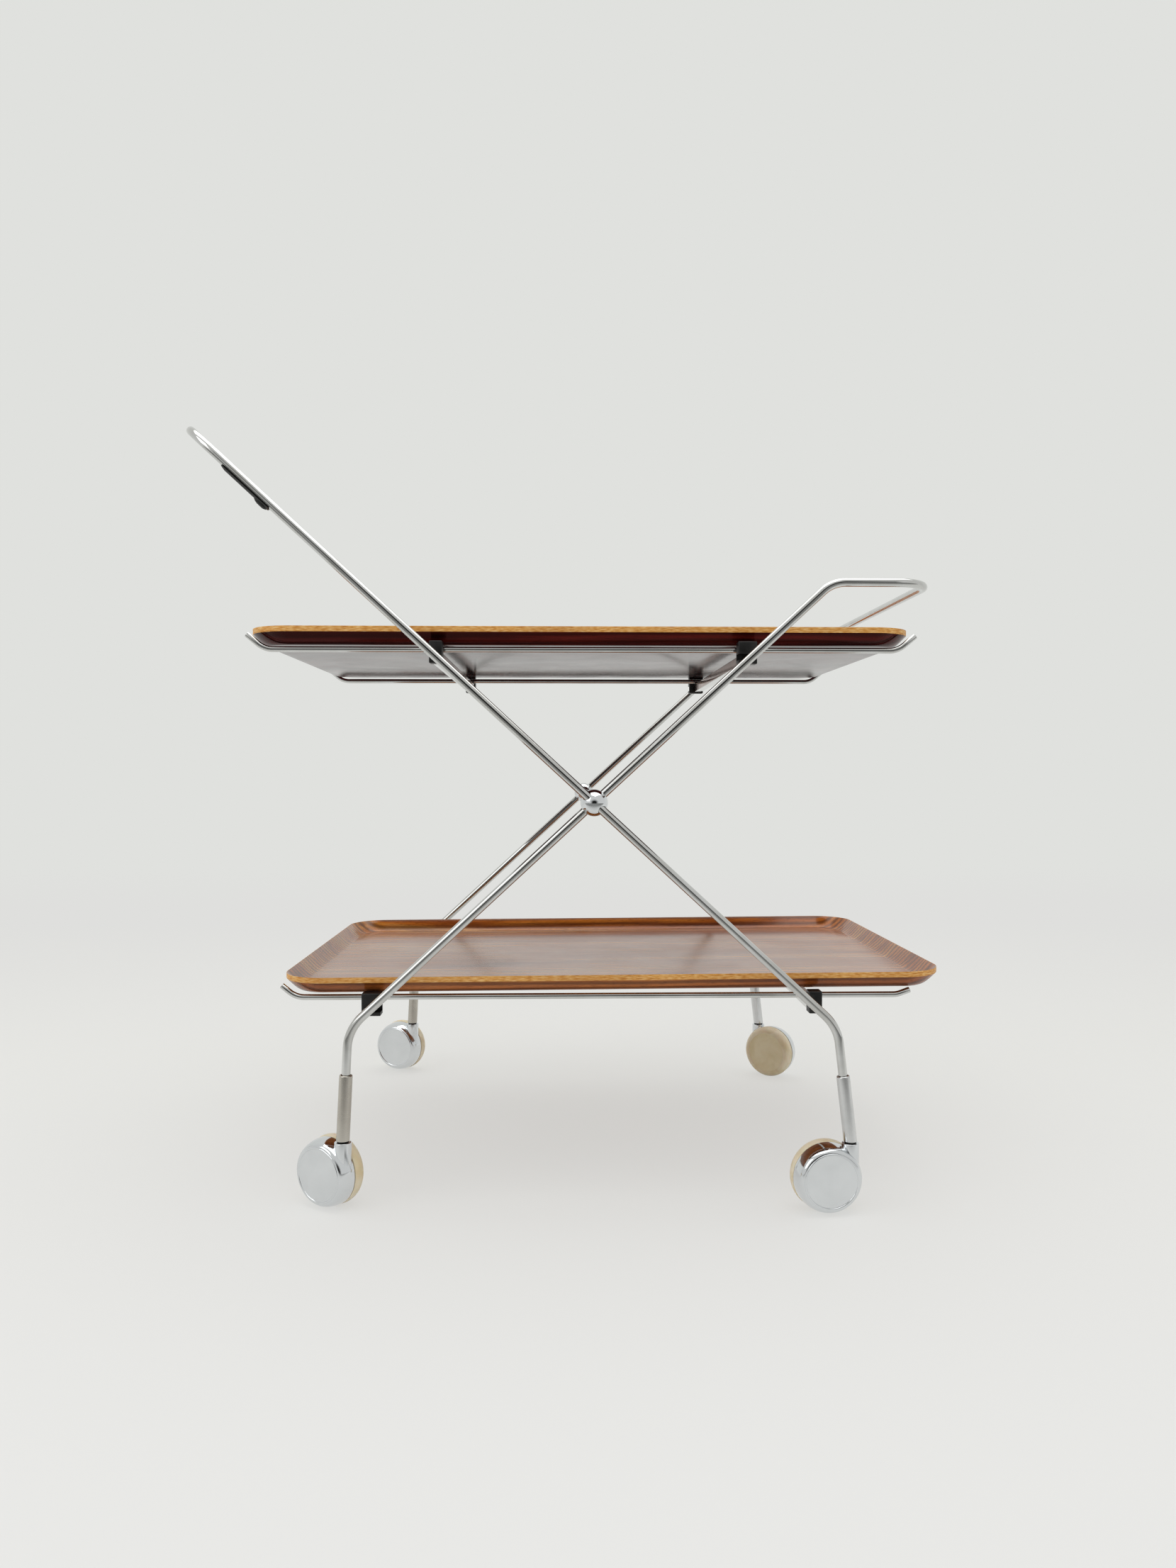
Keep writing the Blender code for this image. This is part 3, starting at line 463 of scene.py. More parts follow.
def spinProfile(profile, matrix, sides=shapeRules["turnSides"]):
    # (radius, height) points from axis to axis, turned about local Z
    mesh = bmesh.new()
    verts = [mesh.verts.new((radius, 0, height)) for radius, height in profile]
    edges = [mesh.edges.new(pair) for pair in zip(verts, verts[1:])]
    bmesh.ops.spin(
        mesh, geom=verts + edges, cent=(0, 0, 0), axis=(0, 0, 1), dvec=(0, 0, 0),
        angle=2 * pi, steps=sides, use_merge=True, use_duplicate=False,
    )
    weld(mesh)
    bmesh.ops.transform(mesh, matrix=matrix, verts=mesh.verts)
    return mesh


def roundCorner(centre, radius, startAngle, endAngle, steps):
    angles = [radians(startAngle + (endAngle - startAngle) * step / steps) for step in range(steps + 1)]
    return [(centre[0] + radius * cos(angle), centre[1] + radius * sin(angle)) for angle in angles]


def quarterCurve(outer, inner, depth):
    steps = shapeRules["curveSteps"]
    angles = [pi / 2 * step / steps for step in range(steps + 1)]
    return [(inner + (outer - inner) * cos(angle), -depth * sin(angle)) for angle in angles]


def edgesOf(geometry):
    return [item for item in geometry if isinstance(item, bmesh.types.BMEdge)]


def vertsOf(geometry):
    return [item for item in geometry if isinstance(item, bmesh.types.BMVert)]


def extrudeRing(mesh, ring, offset):
    grown = bmesh.ops.extrude_edge_only(mesh, edges=ring)["geom"]
    bmesh.ops.translate(mesh, vec=offset, verts=vertsOf(grown))
    return edgesOf(grown)


def roundOff(mesh, geometry, offset, segments, affect="EDGES", material=-1):
    bmesh.ops.bevel(
        mesh, geom=geometry, offset=offset, segments=segments, affect=affect, profile=0.5, material=material
    )


def sweepRod(corners, radii, radius, endRound):
    # A ring pushed along straight runs and spun round each bend
    mesh = bmesh.new()
    heading = (corners[1] - corners[0]).normalized()
    bmesh.ops.create_circle(
        mesh, cap_ends=True, radius=radius, segments=shapeRules["ringSides"],
        matrix=lineMatrix(corners[0], heading),
    )
    ring = list(mesh.edges)
    place = corners[0]
    for index, bendRadius in enumerate(radii, start=1):
        corner = corners[index]
        nextHeading = (corners[index + 1] - corner).normalized()
        angle = heading.angle(nextHeading)
        reach = bendRadius * tan(angle / 2)
        start = corner - heading * reach
        ring = extrudeRing(mesh, ring, start - place)
        axis = heading.cross(nextHeading).normalized()
        centre = start + axis.cross(heading) * bendRadius
        bent = bmesh.ops.spin(
            mesh, geom=ring, cent=centre, axis=axis, dvec=(0, 0, 0), angle=angle,
            steps=shapeRules["bendSteps"], use_duplicate=False,
        )["geom_last"]
        ring = edgesOf(bent)
        place = corner + nextHeading * reach
        heading = nextHeading
    ring = extrudeRing(mesh, ring, corners[-1] - place)
    bmesh.ops.edgeloop_fill(mesh, edges=ring)
    weld(mesh)
    capEdges = [edge for edge in mesh.edges if any(len(face.verts) > 4 for face in edge.link_faces)]
    roundOff(mesh, capEdges, endRound, 2)
    return mesh


def boxMesh(low, high, edgeRound=0.0):
    mesh = bmesh.new()
    size = Vector(high) - Vector(low)
    middle = (Vector(high) + Vector(low)) / 2
    place = Matrix.Translation(middle) @ Matrix.Diagonal((*size, 1))
    bmesh.ops.create_cube(mesh, size=1, matrix=place)
    if edgeRound:
        roundOff(mesh, list(mesh.edges), edgeRound, 3)
    return mesh


def rodTool(start, end, radius, sides=shapeRules["boreSides"]):
    # A plain cylinder used only to cut
    mesh = bmesh.new()
    span = end - start
    bmesh.ops.create_cone(
        mesh, cap_ends=True, segments=sides, radius1=radius, radius2=radius, depth=span.length,
        matrix=lineMatrix((start + end) / 2, span),
    )
    return toObject(mesh, "cuttingRod")


# Rod frames

rods = {
    "radius": 0.004,
    "tilt": radians(42.7),
    "sideY": 0.230,
    "step": 0.012,
    "bendRadius": 0.040,
    "longCornerRadius": 0.045,
    "longHandleReach": 0.497,
    "longBendReach": 0.296,
    "longLegLean": radians(6.6),
    "shortUpperReach": 0.2925,
    "shortHandleOverhang": 0.092,
    "shortBendReach": 0.300,
    "shortLegLean": radians(2.8),
    "shortUpperBendRadius": 0.030,
    "shortCornerRadius": 0.036,
    "endAboveSleeve": 0.022,  # the rod ends this far up its sleeve
    "endRound": 0.0006,
}
sleeves = {
    "bottom": 0.064,
    "radius": 0.006,
    "length": 0.059,
    "shoulder": 0.0014,
    "lip": 0.0004,
    "boreGap": 0.0003,
    "footDrop": 0.003,  # turned on past the foot, then cut level
}
upLeft = Vector((-cos(rods["tilt"]), 0, sin(rods["tilt"])))
upRight = Vector((cos(rods["tilt"]), 0, sin(rods["tilt"])))


def footOf(bend, lean, outward):
    drop = bend.z + pivot.z - sleeves["bottom"]
    return Vector((bend.x + outward * drop * tan(lean), 0, sleeves["bottom"] - pivot.z))


longBend = -upLeft * rods["longBendReach"]
shortBend = -upRight * rods["shortBendReach"]
shortUpper = upRight * rods["shortUpperReach"]
frames = {
    "long": {
        "rodShift": -rods["step"] / 2,
        "bend": longBend,
        "foot": footOf(longBend, rods["longLegLean"], 1),
        "upper": [upLeft * rods["longHandleReach"]],
        "upperRadii": [rods["longCornerRadius"]],
        "legSide": "right",
        "sleevePlate": paleSatinPlate,
        "along": upLeft,
    },
    "short": {
        "rodShift": rods["step"] / 2,
        "bend": shortBend,
        "foot": footOf(shortBend, rods["shortLegLean"], -1),
        "upper": [shortUpper, shortUpper + Vector((rods["shortHandleOverhang"], 0, 0))],
        "upperRadii": [rods["shortUpperBendRadius"], rods["shortCornerRadius"]],
        "legSide": "left",
        "sleevePlate": satinPlate,
        "along": upRight,
    },
}


def rodY(kind, side):
    return sideSigns[side] * rods["sideY"] + frames[kind]["rodShift"]


def onRod(kind, side, point):
    return pivot + Vector((point.x, rodY(kind, side), point.z))


def legUp(kind):
    return (frames[kind]["bend"] - frames[kind]["foot"]).normalized()


def buildFrame(kind):
    facts = frames[kind]
    half = [facts["foot"] + legUp(kind) * rods["endAboveSleeve"], facts["bend"], *facts["upper"]]
    corners = [onRod(kind, "near", point) for point in half]
    corners += [onRod(kind, "far", point) for point in reversed(half)]
    radii = [rods["bendRadius"], *facts["upperRadii"]]
    mesh = sweepRod(corners, radii + radii[::-1], rods["radius"], rods["endRound"])
    rod = toObject(mesh, f"{kind}FrameRod", [chromePlate])
    dress(rod, f"{kind}_frame", "chrome", f"frame_{kind}")


for kind in frames:
    buildFrame(kind)
print("rod frames built")


# Leg sleeves

def buildSleeve(kind, side):
    foot = onRod(kind, side, frames[kind]["foot"])
    bore = rods["radius"] + sleeves["boreGap"]
    boreFloor = rods["endAboveSleeve"] - sleeves["boreGap"]
    radius, top, shoulder, lip = (sleeves[name] for name in ("radius", "length", "shoulder", "lip"))
    profile = [
        (0, boreFloor),
        (bore, boreFloor),
        (bore, top - lip),
        (bore + lip, top),
        (radius - shoulder, top),
        *roundCorner((radius - shoulder, top - shoulder), shoulder, 65, 0, 5),
        (radius, -sleeves["footDrop"]),
        (0, -sleeves["footDrop"]),
    ]
    mesh = spinProfile(profile, lineMatrix(foot, legUp(kind)))
    cut = bmesh.ops.bisect_plane(
        mesh, geom=mesh.verts[:] + mesh.edges[:] + mesh.faces[:], plane_co=foot,
        plane_no=(0, 0, -1), clear_outer=True,
    )["geom_cut"]
    bmesh.ops.edgeloop_fill(mesh, edges=edgesOf(cut))
    corner = f"{side}_{frames[kind]['legSide']}"
    piece = toObject(mesh, f"legSleeve_{corner}", [frames[kind]["sleevePlate"]])
    dress(piece, f"{kind}_frame", "chrome", f"leg_sleeve_{corner}")


frameSides = [(kind, side) for kind in frames for side in sideSigns]
for kind, side in frameSides:
    buildSleeve(kind, side)
print("leg sleeves built")


# Ball pivots

balls = {
    "radius": 0.012,
    "split": 0.0008,
    "edgeRound": 0.0008,
    "edgeStart": 4,  # degrees above the split face where its round edge starts
    "tunnelGap": 0.0003,
    "tunnelReach": 1.5,
}


def buildBallHalf(kind, side):
    centre = pivot + alongY * sideSigns[side] * rods["sideY"]
    place, outward = ("front", -alongY) if kind == "long" else ("rear", alongY)
    flat = balls["split"] / 2
    radius = balls["radius"]
    soft = balls["edgeRound"]
    arc = roundCorner((0, 0), radius, 90, balls["edgeStart"], 20)
    arc[0] = (0, radius)
    profile = [*arc, *roundCorner((radius - soft, flat + soft), soft, -10, -90, 4), (0, flat)]
    mesh = spinProfile(profile, lineMatrix(centre, outward))
    piece = toObject(mesh, f"ballHalf_{side}_{place}", [brightPlate])
    middle = onRod(kind, side, Vector((0, 0, 0)))
    reach = frames[kind]["along"] * radius * balls["tunnelReach"]
    carve(piece, rodTool(middle - reach, middle + reach, rods["radius"] + balls["tunnelGap"]))
    dress(piece, f"{kind}_frame", "chrome", f"ball_{side}_{place}_half")


for kind, side in frameSides:
    buildBallHalf(kind, side)
for side in sideSigns:
    paintNode(f"pivot_rivet_{side}", platedSteel)
print("ball pivots built")


# Casters: local Z of the wheel line runs from the hood's face to the wheel's face

casters = {
    "wheelRadius": 0.0315,
    "shoulderRadius": 0.0310,
    "shoulderRound": 0.0006,
    "wheelFaceRadius": 0.0256,
    "rimGap": 0.0013,
    "wheelWidth": 0.0135,
    "faceRecess": 0.0007,
    "faceCrown": (0.0003, 0.0002),  # the sunk face's rise at its middle and part of the way out
    "crownShare": 0.6,
    "recessFloor": 0.0004,  # the sunk face's edge: its start, step and outer slope
    "recessStep": 0.0002,
    "recessSlope": (0.0005, 0.0001),
    "hubRadius": 0.009,
    "hubDepth": 0.005,
    "hoodRadius": 0.0308,
    "hoodFaceRadius": 0.0252,
    "hoodDepth": 0.0158,
    "hoodWall": 0.0018,
    "hoodCrown": (0.0004, 0.00025),
    "hoodGroove": (0.0006, 0.00005),  # inside the ring: width, and how far it is sunk
    "ringWidth": 0.0018,
    "ringHeight": 0.0007,
    "bossRadius": 0.0075,
    "bossGap": 0.0006,
    "clearance": 0.001,
    "wheelSpace": 0.022,
    "axleRadius": 0.0033,
    "axleReach": 0.0114,
    "socketRadius": 0.0077,
    "socketTop": 0.0625,
    "socketBottom": 0.042,
    "socketLip": 0.0006,
    "stemRadius": 0.0025,
    "boreRadius": 0.0028,
    "boreDepth": 0.0085,
    "collarRadius": 0.0054,
    "collarRound": 0.0002,
    "stemTop": 0.0797,
    "fit": 0.0003,
}


def buildHood(corner, swivel, wheelLine, body):
    facts = casters
    sides = shapeRules["casterSides"]
    inner = facts["hoodFaceRadius"] - facts["ringWidth"]
    depth = facts["hoodDepth"] - facts["ringHeight"]
    half = facts["ringWidth"] / 2
    crest = roundCorner((facts["hoodFaceRadius"] - half, 0), half, -10, -170, 8)
    crest = [(radius, height * facts["ringHeight"] / half - depth) for radius, height in crest]
    shell = [
        (0, facts["rimGap"]),
        (facts["hoodRadius"], facts["rimGap"]),
        *quarterCurve(facts["hoodRadius"], facts["hoodFaceRadius"], depth),
        *crest,
        (inner - facts["hoodGroove"][0], facts["hoodGroove"][1] - depth),
        (inner * facts["crownShare"], -facts["hoodCrown"][1] - depth),
        (0, -facts["hoodCrown"][0] - depth),
    ]
    hood = toObject(spinProfile(shell, wheelLine, sides), f"casterHood_{corner}", [brightPlate])
    top, lip = facts["socketTop"], facts["socketLip"]
    socket = [
        (0, top),
        *roundCorner((facts["socketRadius"] - lip, top - lip), lip, 90, 0, 4),
        (facts["socketRadius"], facts["socketBottom"]),
        (0, facts["socketBottom"]),
    ]
    carve(hood, toObject(spinProfile(socket, swivel, shapeRules["socketSides"]), "socketTool"), "UNION")
    wall = facts["hoodWall"]
    floor = wall - depth
    bossEnd = -facts["hubDepth"] - facts["bossGap"]
    free = facts["wheelRadius"] + facts["clearance"]
    space = [
        (0, facts["wheelSpace"]),
        (free, facts["wheelSpace"]),
        (free, 0),
        *quarterCurve(facts["hoodRadius"] - wall, facts["hoodFaceRadius"] - wall, -floor),
        (facts["bossRadius"], floor),
        (facts["bossRadius"], bossEnd),
        (facts["axleRadius"], bossEnd),
        (facts["axleRadius"], floor),
        (0, floor),
    ]
    carve(hood, toObject(spinProfile(space, wheelLine, sides), "spaceTool"))
    mouth = swivel.translation + Vector((0, 0, top))
    ends = [mouth + Vector((0, 0, rise)) for rise in (-facts["boreDepth"], shapeRules["cutPast"])]
    carve(hood, rodTool(*ends, facts["boreRadius"]))
    dress(hood, body, "chrome", f"caster_hood_{corner}")


def buildWheel(corner, wheelLine, body):
    facts = casters
    outer = facts["rimGap"] + facts["wheelWidth"]
    crownStart = facts["rimGap"] + facts["wheelWidth"] / 3
    crown = quarterCurve(facts["wheelRadius"], facts["wheelFaceRadius"], outer - crownStart)
    crown = [(radius, crownStart - height) for radius, height in crown][::-1]
    sunk = outer - facts["faceRecess"]
    recess = facts["wheelFaceRadius"] - 2 * facts["faceRecess"]
    soft = facts["shoulderRound"]
    profile = [
        (0, sunk + facts["faceCrown"][0]),
        (recess * facts["crownShare"], sunk + facts["faceCrown"][1]),
        (recess - facts["recessFloor"], sunk),
        (recess, sunk + facts["recessStep"]),
        (recess + facts["recessSlope"][0], outer - facts["recessSlope"][1]),
        *crown,
        *roundCorner((facts["shoulderRadius"] - soft, facts["rimGap"] + soft), soft, 0, -90, 4),
        (facts["hubRadius"], facts["rimGap"]),
        (facts["hubRadius"], -facts["hubDepth"]),
        (facts["axleRadius"], -facts["hubDepth"]),
        (facts["axleRadius"], facts["axleReach"]),
        (0, facts["axleReach"]),
    ]
    mesh = spinProfile(profile, wheelLine, shapeRules["casterSides"])
    wheel = toObject(mesh, f"casterWheel_{corner}", [creamTread, creamFace])
    axis = wheelLine.to_3x3() @ Vector((0, 0, 1))
    for polygon in wheel.data.polygons:
        arm = polygon.center - wheelLine.translation
        height = arm.dot(axis)
        reach = (arm - axis * height).length
        if height > outer - 2 * facts["faceRecess"] and reach < recess:
            polygon.material_index = 1
    dress(wheel, body, "cream_plastic", f"caster_wheel_{corner}")


def buildStem(corner, swivel, body):
    facts = casters
    radius, soft = facts["stemRadius"], facts["collarRound"]
    collarTop = sleeves["bottom"] - facts["fit"]
    collarBase = facts["socketTop"] + facts["fit"]
    stemEnd = collarBase - facts["boreDepth"]
    profile = [
        (0, facts["stemTop"]),
        (radius, facts["stemTop"]),
        (radius, collarTop),
        *roundCorner((facts["collarRadius"] - soft, collarTop - soft), soft, 90, 0, 2),
        *roundCorner((facts["collarRadius"] - soft, collarBase + soft), soft, 0, -90, 2),
        (radius, collarBase),
        (radius, stemEnd),
        (0, stemEnd),
    ]
    mesh = spinProfile(profile, swivel, shapeRules["pinSides"])
    piece = toObject(mesh, f"casterStem_{corner}", [blackAcetal])
    dress(piece, body, "black_plastic", f"caster_stem_{corner}")


def buildCaster(corner):
    swivelPlace = Vector(joints[f"swivel_{corner}"]["pos_m"])
    swivelPlace.z = 0
    swivel = Matrix.Translation(swivelPlace)
    roll = joints[f"roll_{corner}"]
    wheelLine = lineMatrix(Vector(roll["pos_m"]), Vector(roll["axis"]))
    buildHood(corner, swivel, wheelLine, f"caster_{corner}")
    buildWheel(corner, wheelLine, f"wheel_{corner}")
    buildStem(corner, swivel, f"caster_{corner}")
    paintNode(f"caster_axle_{corner}", platedSteel)


for corner in ("near_left", "near_right", "far_left", "far_right"):
    buildCaster(corner)
print("casters built")


# Racks

racks = {
    "wireRadius": 0.00275,
    "wireY": 0.1835,
    "upperTips": ((0.0138, radians(40)), (0.0138, radians(40))),  # rise and angle, left and right
    "lowerTips": ((0.0110, radians(40)), (0.0044, radians(20))),
    "bendRadius": 0.022,
    "endRound": 0.0004,
    "barWidth": 0.010,
    "barWall": 0.001,
    "barRound": 0.0011,
    "barHalf": 0.1875,
    "gap": 0.0003,
    "upperWire": (-0.0088, 0.3119),  # centre from the pivot, and half length
    "lowerWire": (0.0047, 0.2943),
    "plugLength": 0.0135,
    "plugBase": 0.0025,
    "plugInsert": 0.012,
    "plugRound": 0.0008,
    "eyeWidth": 0.012,
    "tongueShort": 0.001,  # between the tongue's end and the bar's floor
    "plugRise": 0.0145,
    "hookDrop": 0.00625,
    "hookOuter": 0.0066,
    "hookMouth": 0.0109,
    "pinRadius": 0.0025,
    "pinFit": 0.00035,
    "pinRound": 0.0004,
    "pinRoot": 0.0008,  # how deep the pin's foot sits in the rod
}


def buildWire(level, side, hinge):
    centre, half = racks[f"{level}Wire"]
    (leftRise, leftAngle), (rightRise, rightAngle) = racks[f"{level}Tips"]
    height = hinge.z + racks["barWidth"] / 2 + racks["gap"] + racks["wireRadius"]
    y = pivot.y + sideSigns[side] * racks["wireY"]
    left = pivot.x + centre - half
    right = pivot.x + centre + half
    corners = [
        Vector((left, y, height + leftRise)),
        Vector((left + leftRise / tan(leftAngle), y, height)),
        Vector((right - rightRise / tan(rightAngle), y, height)),
        Vector((right, y, height + rightRise)),
    ]
    mesh = sweepRod(corners, [racks["bendRadius"]] * 2, racks["wireRadius"], racks["endRound"])
    wire = toObject(mesh, f"{level}RackWire_{side}", [chromePlate])
    dress(wire, f"{level}_rack", "chrome", f"{level}_wire_{side}")


def buildBar(level, word, place):
    half = racks["barWidth"] / 2
    reach = alongY * racks["barHalf"]
    corner = Vector((half, 0, half))
    mesh = boxMesh(place - corner - reach, place + corner + reach)
    longEdges = [edge for edge in mesh.edges if abs((edge.verts[0].co - edge.verts[1].co).y) > half * 4]
    roundOff(mesh, longEdges, racks["barRound"], 4)
    ends = [face for face in mesh.faces if abs(face.normal.y) > shapeRules["facing"]]
    bmesh.ops.inset_individual(mesh, faces=ends, thickness=racks["barWall"], depth=0)
    for end in ends:
        inward = -end.normal.normalized() * racks["plugInsert"]
        floor = bmesh.ops.extrude_discrete_faces(mesh, faces=[end])["faces"][0]
        bmesh.ops.translate(mesh, vec=inward, verts=floor.verts)
    # the upper bars' side faces take the plate with the painted brown reflection
    for face in mesh.faces:
        if level == "upper" and abs(face.normal.x) > shapeRules["facing"]:
            face.material_index = 1
    bar = toObject(mesh, f"{level}Rack{word.title()}Bar", [chromePlate, paintedReflectionBrownPlate])
    dress(bar, f"{level}_rack", "chrome", f"{level}_{word}_bar")


def boreEnds(place, side):
    outward = alongY * sideSigns[side]
    base = place + outward * (racks["barHalf"] + racks["plugBase"])
    return base, base + outward * (racks["plugLength"] + shapeRules["cutPast"])


def addTongue(plug, place, side):
    half = racks["barWidth"] / 2 - racks["barWall"] - racks["gap"]
    inEnd = racks["barHalf"] - racks["plugInsert"] + racks["tongueShort"]
    outEnd = racks["barHalf"] + racks["plugBase"] / 2
    ends = sorted(sideSigns[side] * y for y in (inEnd, outEnd))
    low = place + Vector((-half, ends[0], -half))
    high = place + Vector((half, ends[1], half))
    carve(plug, toObject(boxMesh(low, high), "tongueTool"), "UNION")


def buildPlug(level, word, side, place, xEnds, zLow):
    start = racks["barHalf"] + racks["gap"]
    yEnds = sorted(sideSigns[side] * y for y in (start, start + racks["plugLength"]))
    low = place + Vector((xEnds[0], yEnds[0], zLow))
    high = place + Vector((xEnds[1], yEnds[1], racks["plugRise"]))
    mesh = boxMesh(low, high, racks["plugRound"])
    plug = toObject(mesh, f"{level}{word.title()}Plug_{side}", [blackAcetal])
    addTongue(plug, place, side)
    carve(plug, rodTool(*boreEnds(place, side), racks["pinRadius"] + racks["pinFit"]))
    return dress(plug, f"{level}_rack", "black_plastic", f"{level}_{word}_plug_{side}")


def openHook(plug, side, place, mouth):
    seat = racks["pinRadius"] + racks["pinFit"]
    xEnds = sorted((0, mouth * (racks["hookMouth"] + shapeRules["cutPast"])))
    yEnds = sorted(end.y for end in boreEnds(place, side))
    low = Vector((place.x + xEnds[0], yEnds[0], place.z - seat))
    high = Vector((place.x + xEnds[1], yEnds[1], place.z + seat))
    carve(plug, toObject(boxMesh(low, high), "slotTool"))


def buildPin(level, word, kind, side, place):
    inward = -alongY * sideSigns[side]
    rod = pivot.y + rodY(kind, side)
    shoulder = Vector((place.x, rod, place.z)) + inward * (rods["radius"] - racks["pinRoot"])
    freeEnd = racks["barHalf"] + racks["plugBase"] + racks["gap"]
    length = abs(shoulder.y - pivot.y) - freeEnd
    tip = racks["pinRound"]
    profile = [
        (0, length),
        *roundCorner((racks["pinRadius"] - tip, length - tip), tip, 90, 0, 3),
        (racks["pinRadius"], 0),
        (0, 0),
    ]
    mesh = spinProfile(profile, lineMatrix(shoulder, inward), shapeRules["pinSides"])
    piece = toObject(mesh, f"{level}{word.title()}Pin_{side}", [platedSteel])
    dress(piece, f"{kind}_frame", "plated_steel", f"{level}_{word}_pin_{side}")


def buildRack(level):
    hinge = Vector(joints[f"{level}_rack_level"]["pos_m"])
    hook = Vector((2 * pivot.x - hinge.x, hinge.y, hinge.z))
    mouth = -1 if hook.x > hinge.x else 1
    half = racks["eyeWidth"] / 2
    hookEnds = sorted((-mouth * racks["hookOuter"], mouth * racks["hookMouth"]))
    buildBar(level, "hinge", hinge)
    buildBar(level, "hook", hook)
    for side in sideSigns:
        buildWire(level, side, hinge)
        buildPlug(level, "eye", side, hinge, (-half, half), -half)
        openHook(buildPlug(level, "hook", side, hook, hookEnds, -racks["hookDrop"]), side, hook, mouth)
        buildPin(level, "hinge", "long", side, hinge)
        buildPin(level, "hook", "short", side, hook)


for level in ("upper", "lower"):
    buildRack(level)
print("racks built")


# Trays

trays = {
    "length": 0.6225,
    "width": 0.392,
    "cornerRadius": 0.040,
    "cornerSegments": 28,
    "thickness": 0.0036,
    "flare": 0.0155,
    "rise": 0.0115,
    "floorHandle": 0.0052,  # how far the floor runs on level into the flare
    "rimHandle": 0.0075,
    "rimSlope": radians(45.5),
    "edgeRound": 0.0005,
    "upperCentre": -0.0100,
    "lowerCentre": 0.0205,
    "seat": 0.0121,  # the floor's underside above the bars' axes
    "upperTilt": 0.0,
    "lowerTilt": radians(0.35),  # rests on the left plugs and on the wires' right ends
}
traySlots = {"edge": 1, "back": 2}


def underCurve():
    # The flare's underside from rim to floor: (inset, 0, height)
    rim = Vector((0, 0, trays["rise"]))
    floor = Vector((trays["flare"], 0, 0))
    rimHandle = rim + Vector((cos(trays["rimSlope"]), 0, -sin(trays["rimSlope"]))) * trays["rimHandle"]
    floorHandle = floor - Vector((trays["floorHandle"], 0, 0))
    return interpolate_bezier(rim, rimHandle, floorHandle, floor, shapeRules["curveSteps"] + 1)


def topCurve(under):
    # The same curve a sheet's thickness further in, up to the upright cut of the rim
    cut = Vector((0, 0, trays["rise"] + trays["thickness"] / cos(trays["rimSlope"])))
    points = [cut]
    for index in range(1, len(under)):
        before = under[index - 1]
        after = under[min(index + 1, len(under) - 1)]
        run = (after - before).normalized()
        points.append(under[index] + Vector((-run.z, 0, run.x)) * trays["thickness"])
    return points


def addDish(mesh, curve):
    # One face with rounded corners, inset step by step down the curve
    before = set(mesh.faces)
    size = Matrix.Translation((0, 0, curve[0].z)) @ Matrix.Diagonal((trays["length"], trays["width"], 1, 1))
    corners = bmesh.ops.create_grid(mesh, x_segments=1, y_segments=1, size=0.5, matrix=size)["verts"]
    roundOff(mesh, corners, trays["cornerRadius"], trays["cornerSegments"], "VERTICES")
    floor = (set(mesh.faces) - before).pop()
    for start, end in zip(curve, curve[1:]):
        bmesh.ops.inset_individual(
            mesh, faces=[floor], thickness=end.x - start.x, depth=end.z - start.z, use_even_offset=True
        )


def buildTray(level, veneer, backVeneer):
    hinge = Vector(joints[f"{level}_rack_level"]["pos_m"])
    tilt = trays[f"{level}Tilt"]
    shift = trays[f"{level}Centre"]
    seat = hinge.z + trays["seat"] + tan(tilt) * (shift + abs(hinge.x - pivot.x))
    place = Matrix.Translation((pivot.x + shift, pivot.y, seat)) @ Matrix.Rotation(-tilt, 4, "Y")
    under = underCurve()
    top = topCurve(under)
    mesh = bmesh.new()
    addDish(mesh, under)
    for face in mesh.faces:
        face.material_index = traySlots["back"]
    addDish(mesh, top)
    rimBand = bmesh.ops.bridge_loops(mesh, edges=[edge for edge in mesh.edges if edge.is_boundary])
    for face in rimBand["faces"]:
        face.material_index = traySlots["edge"]
    bmesh.ops.recalc_face_normals(mesh, faces=mesh.faces)
    rims = [edge for edge in mesh.edges if len({face.material_index for face in edge.link_faces}) == 2]
    roundOff(mesh, rims, trays["edgeRound"], 3, material=traySlots["edge"])
    layer = mesh.verts.layers.float.new("layer")
    for vert in mesh.verts:
        vert[layer] = (vert.co.z - under[0].z) / (top[0].z - under[0].z)
    bmesh.ops.transform(mesh, matrix=place, verts=mesh.verts)
    tray = toObject(mesh, f"{level}TrayShell", [veneer, plyEdge, backVeneer])
    dress(tray, f"{level}_tray_body", "rosewood", f"{level}_tray")


buildTray("upper", upperRosewood, upperBack)
buildTray("lower", lowerRosewood, lowerBack)
print("trays built")


# Handle clip

clip = {
    "startReach": 0.386,
    "length": 0.055,
    "fit": 0.0003,
    "wall": 0.0014,
    "frontLip": 0.0036,  # below the rod's axis on the viewer's side
    "rearLip": 0.0028,  # above it behind
    "bumpRadius": 0.0035,
    "bumpDrop": 0.0042,
    "bumpLength": 0.016,
    "slope": 0.0045,
    "bumpRise": ((0, 0), (0.25, 0), (0.72, 0.35), (0.95, 0.8), (1, 1.1)),  # shares of bumpRadius and slope
    "bumpFall": ((0.97, 1.2), (0.80, 0.6), (0.40, 0), (0, 0)),
    "endThinning": 0.7,
}


def clipTool(low, high, middle, turn):
    mesh = boxMesh(low, high)
    bmesh.ops.transform(mesh, matrix=Matrix.Translation(middle) @ turn, verts=mesh.verts)
    return toObject(mesh, "openingTool")


